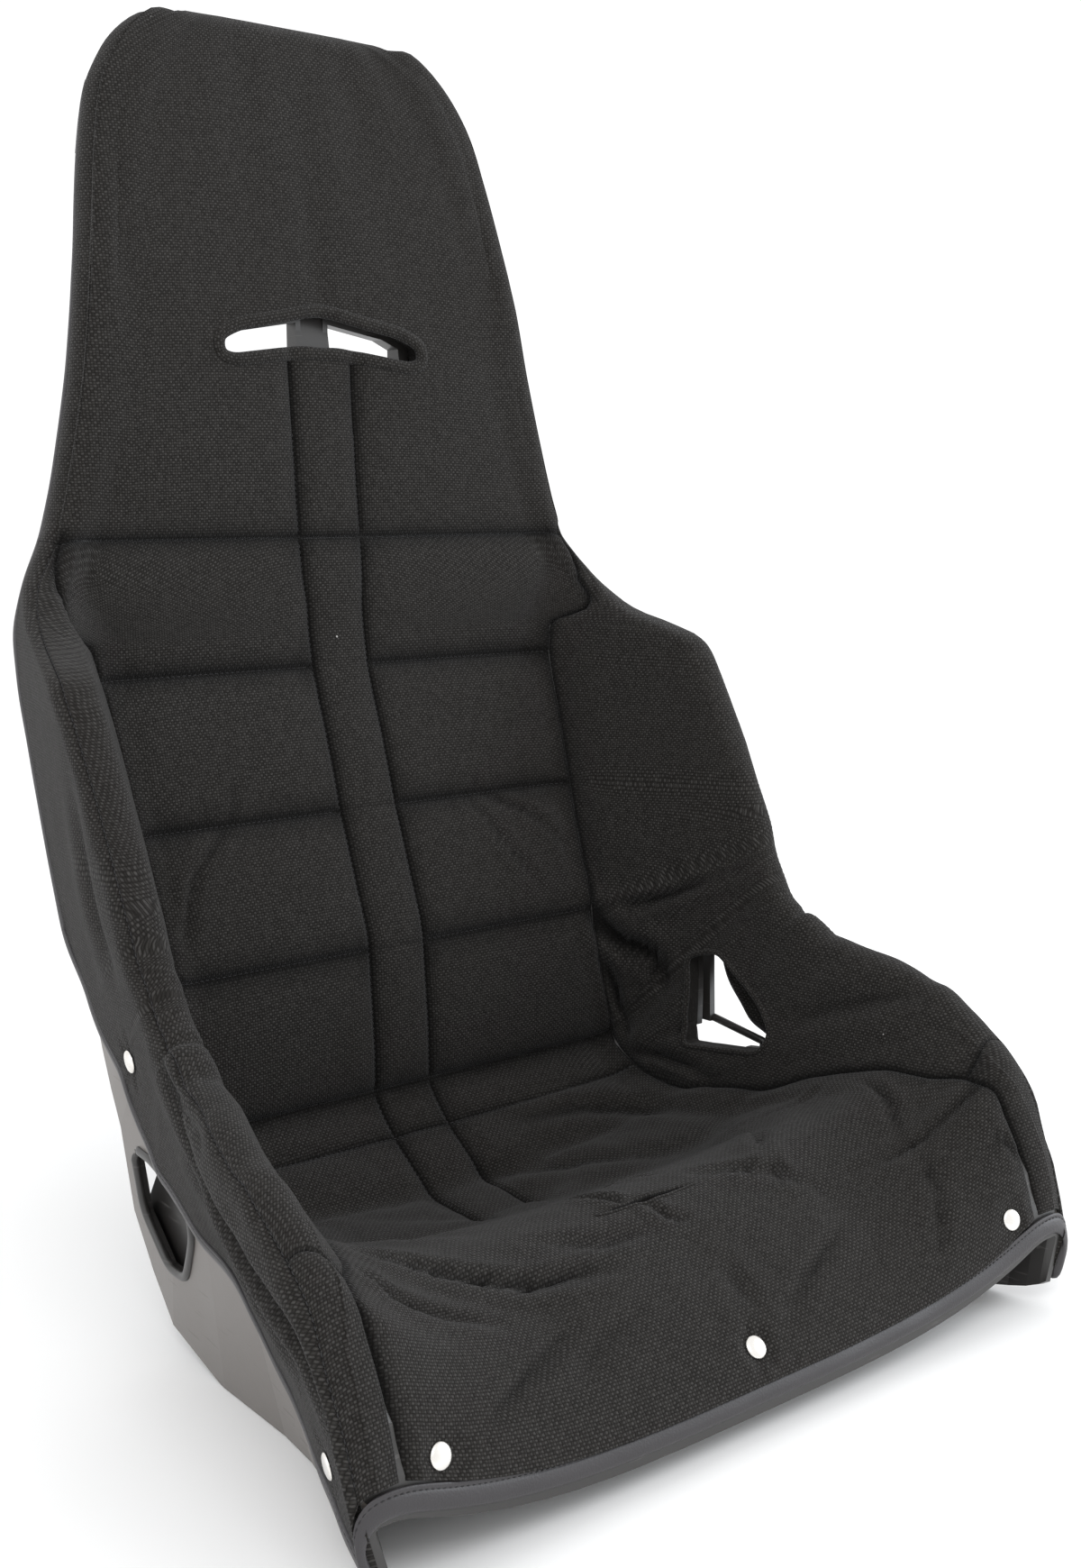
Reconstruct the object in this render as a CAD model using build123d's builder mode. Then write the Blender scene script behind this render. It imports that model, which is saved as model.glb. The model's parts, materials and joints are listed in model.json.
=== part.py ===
"""Racing bucket seat: a one-piece moulded shell with a padded fabric cover on snap fasteners.

Frame: +X to the seat's right-hand rim, the occupant faces -Y, +Z up, z = 0 is the flat base.
The origin is the centre of the four base bolts.

Every layer follows one surface, the outside of the fabric.  The surface is a row of stations
from the front hem (first) to the top of the head (last).  A station is a plane that holds the
X direction, and in it half of the seat is drawn as: centre panel, sewn seam, bolster wall,
rounded rim, outer wall.  A layer is that outline between two depths under the fabric.
"""
import math
import os
from collections import namedtuple

from build123d import *

os.makedirs("parts", exist_ok=True)

# ---- Driving dimensions, mm ---------------------------------------------------------------
OVERALL_HEIGHT = 838.0      # base to the top of the head
PATTERN_HEIGHT = 814.0      # the station list below is drawn for this height
SCALE = OVERALL_HEIGHT / PATTERN_HEIGHT

FABRIC = (0.0, 3.0)         # depth range of the fabric laminate
BINDING = (-0.8, 3.8)       # depth range of the vinyl edge binding, folded round the fabric
FOAM = (3.4, 6.2)           # depth range of the loose foam lining
SHELL = (6.8, 11.6)         # depth range of the moulded wall
RIM_RADIUS = 13.5           # rounding of the rim, at the fabric
SEAM_BLEND = 26.0           # how far the seam's rounding reaches along panel and bolster
PANEL_POWER = 3.5           # the pan is flat in the middle and rises at its sides
SEAM_GAP = 0.4              # free gap between neighbouring panels
SKIRT_BINDING = 12.0        # width of the binding along the lower hem
HEAD_BINDING = 8.0          # width of the binding beside the head
STEPS = 1                   # lofted spans for each gap between two stations

BASE_BOLT_X = 372.0         # base bolt spacing, left to right
BASE_BOLT_Y = 110.0         # base bolt spacing, front to back
BASE_BOLT_HOLE = 8.5        # hole diameter
BASE_FLANGE = 34.0          # width of the flange that is turned in under each side
BOLTS_Y = 142.0             # centre of the bolts, in the pattern's own Y

SNAP_CAP_R = 6.75           # snap fastener: cap, post, socket ring and screw stud radii
SNAP_POST_R = 1.9
SNAP_SOCKET_R = 6.0
SNAP_STUD_R = 5.5
SNAP_SHANK_R = 1.8
SNAP_CLEARANCE = 0.4

HARNESS_Z = 621.0           # height of the shoulder-harness opening's centre
HARNESS_FLANGE = 9.0        # depth of the rim behind each harness slot
SUB_STRAP = (40.0, 3.5)     # half length and half width of the slit for the sub strap
SUB_SLOT = (44.0, 10.0)     # the same of the slot under it in the shell

# ---- The seat surface ---------------------------------------------------------------------
# y, z: centre of the panel.  tilt: 0 where the plane stands upright, 90 where it is level.
# seam: half-width and rise of the panel's edge.  rim: half-width and rise of the rim.
# edge: half-width and rise of the outer wall's free edge.  skirt: how far the fabric covers it.
Station = namedtuple("Station", "y z tilt seam_x seam_s rim_x rim_s edge_x edge_s skirt")
PATTERN = [
    Station(-14, 21, 0, 236, 26, 260, 22, 256, -8, 1.00),
    Station(-8, 34, 0, 236, 36, 261, 31, 254, -24, 0.92),
    Station(0, 45, 0, 236, 48, 262, 43, 252, -38, 0.84),
    Station(12, 55, 0, 236, 60, 263, 57, 250, -51, 0.78),
    Station(24, 63, 0, 236, 69, 263, 73, 246, -61, 0.75),
    Station(43, 74, 0, 231, 62, 264, 80, 238, -76, 0.72),
    Station(65, 90, 0, 222, 42, 264, 78, 228, -93, 0.66),
    Station(88, 100, 0, 217, 31, 263, 79, 220, -103, 0.60),
    Station(118, 90, 0, 211, 34, 259, 99, 213, -93, 0.52),
    Station(150, 71, 0, 205, 42, 250, 125, 210, -74, 0.46),
    Station(205, 50, 12.4, 196, 46, 246, 155, 210, -54, 0.42),
    Station(262, 50, 24.1, 190, 36, 244, 176, 210, -40, 0.40),
    Station(286, 62, 29.7, 187, 22, 243, 178, 212, -24, 0.41),
    Station(310, 79, 35.9, 186, 9, 243, 178, 216, -4, 0.44),
    Station(331, 104, 42.7, 187, 0, 243, 175, 226, 38, 0.54),
    Station(332, 136, 48.0, 180, 0, 243, 155, 228, 27, 0.62),
    Station(334, 168, 54.3, 174, 0, 244, 137, 229, 17, 0.74),
    Station(336, 200, 61.7, 170, 0, 245, 124, 230, 10, 0.86),
    Station(352, 245, 76, 172, 0, 246, 124, 229, -2, 1.00),
    Station(368, 290, 90, 175, 0, 246, 128, 228, -6, 1.00),
    Station(381, 328, 90, 178, 0, 246, 122, 228, -6, 1.00),
    Station(400, 384, 90, 181, 0, 247, 107, 228, -4, 1.00),
    Station(402, 396, 90, 183, 0, 245, 97, 228, -4, 1.00),
    Station(404, 406, 90, 185, 0, 238, 72, 227, -6, 1.00),
    Station(405, 414, 90, 186, 0, 231, 48, 226, -8, 1.00),
    Station(406, 426, 90, 187, 0, 225, 28, 222, -12, 1.00),
    Station(408, 444, 90, 186, 0, 216, 11, 214, -15, 1.00),
    Station(410, 470, 90, 174, 0, 200, 3, 200, -20, 1.00),
    Station(413, 492, 90, 165, 1, 192, 2, 192, -21, 1.00),
    Station(420, 580, 90, 145, 2, 172, 3, 172, -20, 1.00),
    Station(430, 640, 90, 136, 4, 163, 7, 163, -16, 1.00),
    Station(441, 710, 90, 124, 3, 151, 4, 151, -19, 1.00),
    Station(447, 748, 90, 115, 2, 142, 3, 142, -20, 1.00),
    Station(452, 779, 90, 98, 1, 125, 2, 125, -21, 1.00),
    Station(455, 796, 90, 81, 0, 108, 1, 108, -22, 1.00),
    Station(457, 809, 90, 58, 0, 86, 0, 86, -23, 1.00),
]
LAST = len(PATTERN) - 1
ROW_ONE = 27                # station at the seam under the head panel
CREASE = 14                 # station at the crease between back and seat
CORNER = 5                  # station where the rim starts to fall to the front hem


def monotone(values, t):
    """Value at t of a smooth curve through values[0], values[1], ... that never overshoots."""
    i = min(int(t), len(values) - 2)
    f = t - i
    slopes = [b - a for a, b in zip(values, values[1:])]

    def tangent(k):
        if k == 0:
            return slopes[0]
        if k == len(values) - 1:
            return slopes[-1]
        left = slopes[k - 1]
        right = slopes[k]
        return 0.0 if left * right <= 0 else 2 * left * right / (left + right)

    a = values[i]
    b = values[i + 1]
    ta = tangent(i)
    tb = tangent(i + 1)
    return (a * (1 + 2 * f) * (1 - f) ** 2 + ta * f * (1 - f) ** 2
            + b * f * f * (3 - 2 * f) + tb * f * f * (f - 1))


COLUMNS = [list(column) for column in zip(*PATTERN)]


def station(v):
    """The station at v, a whole number at a listed station, in real millimetres."""
    raw = Station(*[monotone(column, v) for column in COLUMNS])
    lengths = {name: SCALE * getattr(raw, name) for name in raw._fields if name not in ("tilt", "skirt")}
    lengths["y"] = SCALE * (raw.y - BOLTS_Y)
    return raw._replace(**lengths)


def touch_angle(point, centre, radius, side):
    """Angle on a circle where a line from the point touches it, on one side (+1 or -1)."""
    dx = point[0] - centre[0]
    dy = point[1] - centre[1]
    return math.atan2(dy, dx) + side * math.acos(min(1.0, radius / math.hypot(dx, dy)))


def mix(a, b, t):
    return (a[0] + (b[0] - a[0]) * t, a[1] + (b[1] - a[1]) * t)


def heading(a, b):
    return math.atan2(b[1] - a[1], b[0] - a[0])


def on_circle(centre, radius, angle):
    return (centre[0] + radius * math.cos(angle), centre[1] + radius * math.sin(angle))


# Values of u where the half outline changes from one kind of line to the next.
U_BLEND = 0.75              # panel to the rounding of its seam
U_SEAM = 1.0                # middle of that rounding
U_BOLSTER = 1.2             # rounding to straight bolster wall
U_RIM = 1.7                 # bolster wall to rim
U_CREST = 2.0               # the rim's own seam
U_WALL = 2.2                # rim to straight outer wall
U_EDGE = 3.0                # free edge of the outer wall
CREST_ANGLE = math.radians(45)


def outline_point(st, u, depth):
    """Point of the half outline at u, the given depth under the fabric."""
    lean = RIM_RADIUS * math.cos(CREST_ANGLE)
    centre = (st.rim_x - lean, st.rim_s - lean)
    seam = (st.seam_x, st.seam_s)
    edge = (st.edge_x, st.edge_s)
    arrive = touch_angle(seam, centre, RIM_RADIUS, -1) % math.tau
    leave = touch_angle(edge, centre, RIM_RADIUS, 1)
    touch = on_circle(centre, RIM_RADIUS, arrive)
    release = on_circle(centre, RIM_RADIUS, leave)
    bolster = math.dist(seam, touch)
    blend = min(SEAM_BLEND, 0.8 * bolster)
    blend_end = mix(seam, touch, blend / bolster)

    def panel(x):
        ratio = x / st.seam_x
        slope = PANEL_POWER * st.seam_s * ratio ** (PANEL_POWER - 1) / st.seam_x
        return (x, st.seam_s * ratio ** PANEL_POWER), math.atan(slope)

    panel_end = st.seam_x - blend
    if u <= U_BLEND:
        point, direction = panel(panel_end * u / U_BLEND)
    elif u <= U_BOLSTER:
        side = 0.5 / (U_SEAM - U_BLEND) if u <= U_SEAM else 0.5 / (U_BOLSTER - U_SEAM)
        t = 0.5 + (u - U_SEAM) * side
        a = mix(panel(panel_end)[0], seam, t)
        b = mix(seam, blend_end, t)
        point, direction = mix(a, b, t), heading(a, b)
    elif u <= U_RIM:
        point = mix(blend_end, touch, (u - U_BOLSTER) / (U_RIM - U_BOLSTER))
        direction = heading(seam, touch)
    elif u <= U_WALL:
        if u <= U_CREST:
            angle = arrive + (CREST_ANGLE - arrive) * (u - U_RIM) / (U_CREST - U_RIM)
        else:
            angle = CREST_ANGLE + (leave - CREST_ANGLE) * (u - U_CREST) / (U_WALL - U_CREST)
        point = on_circle(centre, RIM_RADIUS, angle)
        direction = angle - math.pi / 2
    else:
        point = mix(release, edge, (u - U_WALL) / (U_EDGE - U_WALL))
        direction = heading(release, edge)
    return (point[0] + depth * math.sin(direction), point[1] - depth * math.cos(direction))


def signed_point(st, u, depth):
    """Point of the whole outline; a negative u is on the left half."""
    x, rise = outline_point(st, abs(u), depth)
    return (math.copysign(x, u) if u else x, rise)


def surface_point(u, v, depth=0.0):
    """The same point in space."""
    st = station(v)
    x, rise = signed_point(st, u, depth)
    tilt = math.radians(st.tilt)
    return Vector(x, st.y - rise * math.sin(tilt), st.z + rise * math.cos(tilt))


def surface_plane(u, v):
    """Plane that touches the fabric at (u, v), with its normal pointing out of the seat."""
    step = 0.02
    along = surface_point(u + step, v) - surface_point(u - step, v)
    across = surface_point(u, v + step) - surface_point(u, v - step)
    inside = surface_point(u, v, 5.0) - surface_point(u, v)
    normal = along.cross(across)
    if normal.dot(inside) > 0:
        normal = -normal
    return Plane(origin=surface_point(u, v), x_dir=along, z_dir=normal)


def slant(u, v):
    """True thickness of a layer at (u, v), as a share of its depth within the station."""
    reach = 5.0
    return -surface_plane(u, v).z_dir.dot(surface_point(u, v, reach) - surface_point(u, v)) / reach


def station_plane(st):
    tilt = math.radians(st.tilt)
    return Plane(origin=(0, st.y, st.z), x_dir=(1, 0, 0), z_dir=(0, -math.cos(tilt), -math.sin(tilt)))


def wall_width(v, width):
    """How much u a width in mm takes on the outer wall at v."""
    span = (surface_point(U_EDGE, v) - surface_point(U_WALL, v)).length
    return width * (U_EDGE - U_WALL) / span


def skirt_u(v):
    """Where the fabric's hem runs on the outer wall."""
    return U_WALL + (U_EDGE - U_WALL) * station(v).skirt


def past(v, distance):
    """The station value that distance mm further along the centre line."""
    step = 0.05 if v < LAST - 0.1 else -0.05
    speed = (surface_point(0, v + step) - surface_point(0, v)).length / abs(step)
    return v + distance / speed


# ---- Building layers ----------------------------------------------------------------------
U_SAMPLES = [0, 0.25, 0.5, 0.68, 0.75, 0.83, 0.92, 1.0, 1.08, 1.15, 1.2, 1.32, 1.45, 1.58, 1.65,
             1.7, 1.76, 1.82, 1.88, 1.94, 2.0, 2.07, 2.14, 2.2, 2.3]
WALL_SAMPLES = 4
GAP_U = 0.004               # half a seam gap, measured in u


def u_samples(first, last):
    """Sample values from first to last; the same number of them at every station."""
    both_sides = sorted({-u for u in U_SAMPLES} | set(U_SAMPLES))
    inner = [u for u in both_sides if first < u < last and abs(u) < U_WALL]
    if last > U_WALL:
        low = max(first, U_WALL)
        inner += [low + (last - low) * k / WALL_SAMPLES for k in range(0 if low > first else 1, WALL_SAMPLES)]
    if first < -U_WALL:
        inner = [first + (-U_WALL - first) * k / WALL_SAMPLES for k in range(1, WALL_SAMPLES + 1)] + inner
    return [first] + inner + [last]


def v_samples(first, last):
    """Stations from first to last, with the ends and an even grid between them."""
    grid = [k / STEPS for k in range(LAST * STEPS + 1)]
    return [first] + [v for v in grid if first + 0.1 < v < last - 0.1] + [last]


def layer(depths, u_range, v_range):
    """Sections of one layer of the seat, from the lowest station to the highest."""
    sections = []
    for v in v_samples(*v_range):
        st = station(v)
        us = u_samples(*u_range(v))
        front = [signed_point(st, u, depths[0]) for u in us]
        back = [signed_point(st, u, depths[1]) for u in reversed(us)]
        with BuildSketch(station_plane(st)) as section:
            with BuildLine():
                Spline(*front)
                Line(front[-1], back[0])
                Spline(*back)
                Line(back[-1], front[0])
            make_face()
        sections.append(section.sketch)
    return sections


def across_panel(v):
    return (-U_SEAM + GAP_U, U_SEAM - GAP_U)


def up_bolster(v):
    return (U_SEAM + GAP_U, U_CREST - GAP_U)


def down_wall(v):
    return (U_CREST + GAP_U, skirt_u(v) - wall_width(v, SKIRT_BINDING + SEAM_GAP))


def along_hem(v):
    return (skirt_u(v) - wall_width(v, SKIRT_BINDING), skirt_u(v))


def front_hem(v):
    return (-skirt_u(v), skirt_u(v))


def over_head(v):
    reach = U_EDGE - wall_width(v, HEAD_BINDING + SEAM_GAP)
    return (-reach, reach)


def inside_head(v):
    return (-U_CREST, U_CREST)


def head_edge(v):
    return (U_EDGE - wall_width(v, HEAD_BINDING), U_EDGE)


def whole_section(v):
    return (-U_EDGE, U_EDGE)


def scaled(points):
    """Side-view points of the pattern as (y, z) of the real seat."""
    return [(SCALE * (y - BOLTS_Y), SCALE * z) for y, z in points]


def finish(name, built):
    built.label = name
    export_step(built, f"parts/{name}.step")


def finish_pair(name, right):
    """Write the right-hand part and its mirror image on the left."""
    finish(f"{name}_right", right)
    finish(f"{name}_left", mirror(right, about=Plane.YZ))


# ---- Where things are ---------------------------------------------------------------------
V_HEM = 0.6                 # top of the front binding
V_SHELL = 0.35              # front edge of the shell
V_SKIRT_END = 18.0          # where the hem binding reaches the wall's rear edge
V_BINDING_TOP = 32.2        # where the binding beside the head starts, under the hood's corner
V_HOOD = 31.0               # lower edge of the hood's back
V_SLOTS = 29.3              # height of the shoulder-harness slots
V_TOP = LAST
HEM_PAST = past(V_HEM, SEAM_GAP)
ROW_BELOW = past(ROW_ONE, -SEAM_GAP)
CREASE_BELOW = past(CREASE, -SEAM_GAP)
CORNER_PAST = past(CORNER, SEAM_GAP)
SHELL_TOP = past(V_TOP, -6.0)

# Snap fasteners: three along the front hem, two on each side wall.  Each is a plane on the
# fabric and the share of the layers' depth that is left where the stations cut them at a slant.
SNAP_SITES = [(0, 2.0), (0.72, 1.15), (-0.72, 1.15), (2.62, 3.9), (-2.62, 3.9), (2.44, 13.75), (-2.44, 13.75)]
SNAPS = [(surface_plane(u, v), slant(u, v)) for u, v in SNAP_SITES]

# Openings, drawn on the pattern's side view or on the seat's front view.
HIP_OPENING = scaled([(268, 173), (244, 180), (200, 150), (187, 135), (193, 121), (258, 113)])
HIP_WINDOW = scaled([(288, 124), (214, 124), (214, 98), (240, 62), (264, 60), (290, 84)])
CLEAR_X = 300.0             # further out than the side walls
HIP_REACH = (150 * SCALE, CLEAR_X)
WINDOW_REACH = (210.0, CLEAR_X)
WEB_X = 205.0               # inner face of the web under each lap-belt opening
WEB_ENDS = (10, 13)         # its first and last station
WEB_SET_IN = 3.0            # how far it stays inside the side wall's rear edge
COVER_OPENING = [(0, 15), (62, 5), (79, -3), (79, -16), (68, -19), (0, -9)]
SHELL_SLOT = [(13, 9), (58, 1), (71, -5), (71, -13), (62, -14), (13, -7)]
SUB_CENTRE = surface_point(0, 7.0)


def mirrored(points):
    return [(-x, z) for x, z in points]


def side_cuts(points, low_x, high_x):
    """Side-view polygon on the right and the left, with the distance each is cut outwards."""
    cuts = []
    for side in (1, -1):
        with BuildSketch(Plane.YZ.offset(side * low_x)) as outline:
            Polygon(*points, align=None)
        cuts.append((outline.sketch, side * (high_x - low_x)))
    return cuts


def disc(plane, radius):
    with BuildSketch(plane) as outline:
        Circle(radius)
    return outline.sketch


def layer_at(v, x, depth):
    """Side-view point of the right bolster's layer, that far from the centre line."""
    low, high = U_BLEND, U_RIM
    for _ in range(40):
        middle_u = (low + high) / 2
        if surface_point(middle_u, v, depth).X < x:
            low = middle_u
        else:
            high = middle_u
    point = surface_point(low, v, depth)
    return (point.Y, point.Z)


def slit(half_length, half_width):
    with BuildSketch(Plane.XY) as outline:
        with Locations((SUB_CENTRE.X, SUB_CENTRE.Y)):
            Rectangle(2 * half_length, 2 * half_width)
    return outline.sketch


with BuildSketch(Plane.XZ) as harness_opening:
    with Locations((0, HARNESS_Z)):
        Polygon(*COVER_OPENING, *mirrored(reversed(COVER_OPENING[1:-1])), align=None)

with BuildSketch(Plane.XZ) as foam_opening:
    add(harness_opening.sketch)
    offset(amount=8, kind=Kind.INTERSECTION)

with BuildSketch(Plane.XZ) as harness_slots:
    with Locations((0, HARNESS_Z)):
        Polygon(*SHELL_SLOT, align=None)
        Polygon(*mirrored(SHELL_SLOT), align=None)

HIP_CUTS = side_cuts(HIP_OPENING, *HIP_REACH)
WINDOW_CUTS = side_cuts(HIP_WINDOW, *WINDOW_REACH)
RIGHT = 0                   # index of the right-hand cut in HIP_CUTS
THROUGH = 600.0             # a cut longer than the seat
HOLE = (-30.0, 40.0)        # start, along a snap's axis, and length of the holes for it
FRONT_SNAPS = SNAPS[:3]
RIGHT_SNAPS = [SNAPS[3], SNAPS[5]]
POCKET_R = SNAP_CAP_R + SNAP_CLEARANCE
POST_HOLE_R = SNAP_POST_R + SNAP_CLEARANCE
SHANK_HOLE_R = SNAP_SHANK_R + SNAP_CLEARANCE / 2

# ---- Moulded shell ------------------------------------------------------------------------
CAP_INSET = 1.0             # how far the head's flat top is set into the wall

with BuildPart() as shell:
    loft(layer(SHELL, whole_section, (V_SHELL, SHELL_TOP)), ruled=True)

    # Flat top that closes the head, set into the wall all round.
    top = station(SHELL_TOP)
    cap = [signed_point(top, u, SHELL[0] + CAP_INSET) for u in u_samples(-U_EDGE, U_EDGE)]
    with BuildSketch(station_plane(top).offset(CAP_INSET)):
        with BuildLine():
            Spline(*cap)
            Line(cap[-1], cap[0])
        make_face()
    extrude(amount=SHELL[1] - SHELL[0])

    # Flange turned in under each side, with the bolt holes.
    flange_stations = [station(v) for v in (6, 7, 8, 9, 10)]
    middle = (SHELL[0] + SHELL[1]) / 2
    outer_line = [(st.edge_x - middle, st.y) for st in flange_stations]
    inner_x = outer_line[-1][0] - BASE_FLANGE
    for side in (1, -1):
        corners = [(side * x, y) for x, y in outer_line]
        corners += [(side * inner_x, outer_line[-1][1]), (side * inner_x, outer_line[0][1])]
        with BuildSketch(Plane.XY):
            Polygon(*corners, align=None)
        extrude(amount=SHELL[1] - SHELL[0])

    # Web under each belt opening, from the bolster down to the height of the side wall's edge.
    ridge = [layer_at(v, WEB_X, SHELL[0] + 0.5) for v in v_samples(*WEB_ENDS)]
    foot = [surface_point(U_EDGE, v, SHELL[1]) for v in v_samples(*WEB_ENDS)]
    foot = [(point.Y - WEB_SET_IN, max(point.Z, 0)) for point in reversed(foot)]
    for side in (1, -1):
        with BuildSketch(Plane.YZ.offset(side * WEB_X)):
            Polygon(*ridge, *foot, align=None)
        extrude(amount=side * (SHELL[1] - SHELL[0]))

    with BuildSketch(Plane.XY):
        Rectangle(4 * CLEAR_X, 8 * CLEAR_X)
    extrude(amount=-40, mode=Mode.SUBTRACT)
    with BuildSketch(Plane.XY):
        with GridLocations(BASE_BOLT_X, BASE_BOLT_Y, 2, 2):
            Circle(BASE_BOLT_HOLE / 2)
    extrude(amount=20, mode=Mode.SUBTRACT)

    # Rim behind each shoulder-harness slot, then the slots themselves.
    slot_back = surface_point(0, V_SLOTS, SHELL[1]).Y
    with BuildSketch(Plane.XZ.offset(-slot_back - HARNESS_FLANGE)):
        with Locations((0, HARNESS_Z)):
            Polygon(*SHELL_SLOT, align=None)
            Polygon(*mirrored(SHELL_SLOT), align=None)
        offset(amount=4, kind=Kind.INTERSECTION)
    extrude(amount=HARNESS_FLANGE + 3)
    extrude(harness_slots.sketch, amount=THROUGH, both=True, mode=Mode.SUBTRACT)
    extrude(slit(*SUB_SLOT), amount=THROUGH, mode=Mode.SUBTRACT)
    for outline, reach in HIP_CUTS + WINDOW_CUTS:
        extrude(outline, amount=reach, mode=Mode.SUBTRACT)
    for plane, _ in SNAPS:
        extrude(disc(plane.offset(HOLE[0]), SHANK_HOLE_R), amount=HOLE[1], mode=Mode.SUBTRACT)
finish("shell", shell.part)

# ---- Fabric panels ------------------------------------------------------------------------
with BuildPart() as head_panel:
    loft(layer(FABRIC, over_head, (ROW_ONE, V_TOP)), ruled=True)
    extrude(harness_opening.sketch, amount=THROUGH, both=True, mode=Mode.SUBTRACT)
finish("cover_head_panel", head_panel.part)

with BuildPart() as back_panel:
    loft(layer(FABRIC, across_panel, (CREASE, ROW_BELOW)), ruled=True)
finish("cover_back_panel", back_panel.part)

with BuildPart() as seat_panel:
    loft(layer(FABRIC, across_panel, (HEM_PAST, CREASE_BELOW)), ruled=True)
    extrude(slit(*SUB_STRAP), amount=THROUGH, mode=Mode.SUBTRACT)
    for plane, _ in FRONT_SNAPS:
        extrude(disc(plane.offset(HOLE[0]), POST_HOLE_R), amount=HOLE[1], mode=Mode.SUBTRACT)
finish("cover_seat_panel", seat_panel.part)

with BuildPart() as bolster_inner:
    loft(layer(FABRIC, up_bolster, (CORNER_PAST, ROW_BELOW)), ruled=True)
    extrude(HIP_CUTS[RIGHT][0], amount=HIP_CUTS[RIGHT][1], mode=Mode.SUBTRACT)
finish_pair("cover_bolster_inner", bolster_inner.part)

with BuildPart() as corner_strip:
    loft(layer(FABRIC, up_bolster, (HEM_PAST, CORNER)), ruled=True)
finish_pair("cover_corner_strip", corner_strip.part)

with BuildPart() as bolster_outer:
    loft(layer(FABRIC, down_wall, (HEM_PAST, ROW_BELOW)), ruled=True)
    for plane, _ in RIGHT_SNAPS:
        extrude(disc(plane.offset(HOLE[0]), POST_HOLE_R), amount=HOLE[1], mode=Mode.SUBTRACT)
finish_pair("cover_bolster_outer", bolster_outer.part)

# ---- Hood pocket over the top of the head --------------------------------------------------
with BuildPart() as hood_top:
    crown = station(V_TOP)
    rim_line = [signed_point(crown, u, FABRIC[0]) for u in u_samples(-U_EDGE, U_EDGE)]
    with BuildSketch(station_plane(crown).offset(-SEAM_GAP)):
        with BuildLine():
            Spline(*rim_line)
            Line(rim_line[-1], rim_line[0])
        make_face()
    extrude(amount=-FABRIC[1])
finish("hood_top", hood_top.part)

with BuildPart() as hood_back:
    for v in v_samples(V_HOOD, V_TOP):
        st = station(v)
        near = st.edge_s - SEAM_GAP
        far = near - FABRIC[1]
        with BuildSketch(station_plane(st)):
            Polygon((-st.edge_x, near), (st.edge_x, near), (st.edge_x, far), (-st.edge_x, far), align=None)
    loft(ruled=True)
finish("hood_back", hood_back.part)

# ---- Edge bindings ------------------------------------------------------------------------
with BuildPart() as binding_front:
    loft(layer(BINDING, front_hem, (0, V_HEM)), ruled=True)
finish("binding_front", binding_front.part)

with BuildPart() as binding_skirt:
    loft(layer(BINDING, along_hem, (HEM_PAST, V_SKIRT_END)), ruled=True)
finish_pair("binding_skirt", binding_skirt.part)

with BuildPart() as binding_rear:
    loft(layer(BINDING, along_hem, (past(V_SKIRT_END, SEAM_GAP), ROW_BELOW)), ruled=True)
finish_pair("binding_rear", binding_rear.part)

with BuildPart() as binding_head:
    loft(layer(BINDING, head_edge, (ROW_ONE, V_BINDING_TOP)), ruled=True)
finish_pair("binding_head", binding_head.part)

# ---- Foam lining --------------------------------------------------------------------------
with BuildPart() as head_foam:
    loft(layer(FOAM, inside_head, (ROW_ONE, SHELL_TOP)), ruled=True)
    extrude(foam_opening.sketch, amount=THROUGH, both=True, mode=Mode.SUBTRACT)
finish("foam_head", head_foam.part)

with BuildPart() as back_foam:
    loft(layer(FOAM, across_panel, (CREASE, ROW_BELOW)), ruled=True)
finish("foam_back", back_foam.part)

with BuildPart() as seat_foam:
    loft(layer(FOAM, across_panel, (HEM_PAST, CREASE_BELOW)), ruled=True)
    extrude(slit(*SUB_SLOT), amount=THROUGH, mode=Mode.SUBTRACT)
    for plane, _ in FRONT_SNAPS:
        extrude(disc(plane.offset(HOLE[0]), POCKET_R), amount=HOLE[1], mode=Mode.SUBTRACT)
finish("foam_seat", seat_foam.part)

with BuildPart() as inner_foam:
    loft(layer(FOAM, up_bolster, (CORNER_PAST, ROW_BELOW)), ruled=True)
    extrude(HIP_CUTS[RIGHT][0], amount=HIP_CUTS[RIGHT][1], mode=Mode.SUBTRACT)
finish_pair("foam_bolster_inner", inner_foam.part)

with BuildPart() as outer_foam:
    loft(layer(FOAM, down_wall, (HEM_PAST, ROW_BELOW)), ruled=True)
    for plane, _ in RIGHT_SNAPS:
        extrude(disc(plane.offset(HOLE[0]), POCKET_R), amount=HOLE[1], mode=Mode.SUBTRACT)
finish_pair("foam_bolster_outer", outer_foam.part)

# ---- Snap fasteners -----------------------------------------------------------------------
CAP_GAP = 0.4               # cap's underside above the fabric
CAP_THICKNESS = 1.6
CAP_TAPER = 40
SOCKET = (5.2, 3.5)         # depths of the socket ring under the fabric
STUD_FLANGE = (6.5, 5.6)    # depths of the stud's flange, which sits on the shell
SHANK_LENGTH = 11.0         # screw under the flange

with BuildPart() as snap_caps:
    for plane, squeeze in SNAPS:
        extrude(disc(plane.offset(CAP_GAP), SNAP_CAP_R), amount=CAP_THICKNESS, taper=CAP_TAPER)
        extrude(disc(plane.offset(-FABRIC[1] * squeeze), SNAP_POST_R), amount=CAP_GAP + FABRIC[1] * squeeze)
finish("snap_caps", snap_caps.part)

with BuildPart() as snap_sockets:
    for plane, squeeze in SNAPS:
        with BuildSketch(plane.offset(-SOCKET[0] * squeeze)):
            Circle(SNAP_SOCKET_R)
            Circle(SNAP_SHANK_R + SNAP_CLEARANCE, mode=Mode.SUBTRACT)
        extrude(amount=(SOCKET[0] - SOCKET[1]) * squeeze)
finish("snap_sockets", snap_sockets.part)

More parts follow.
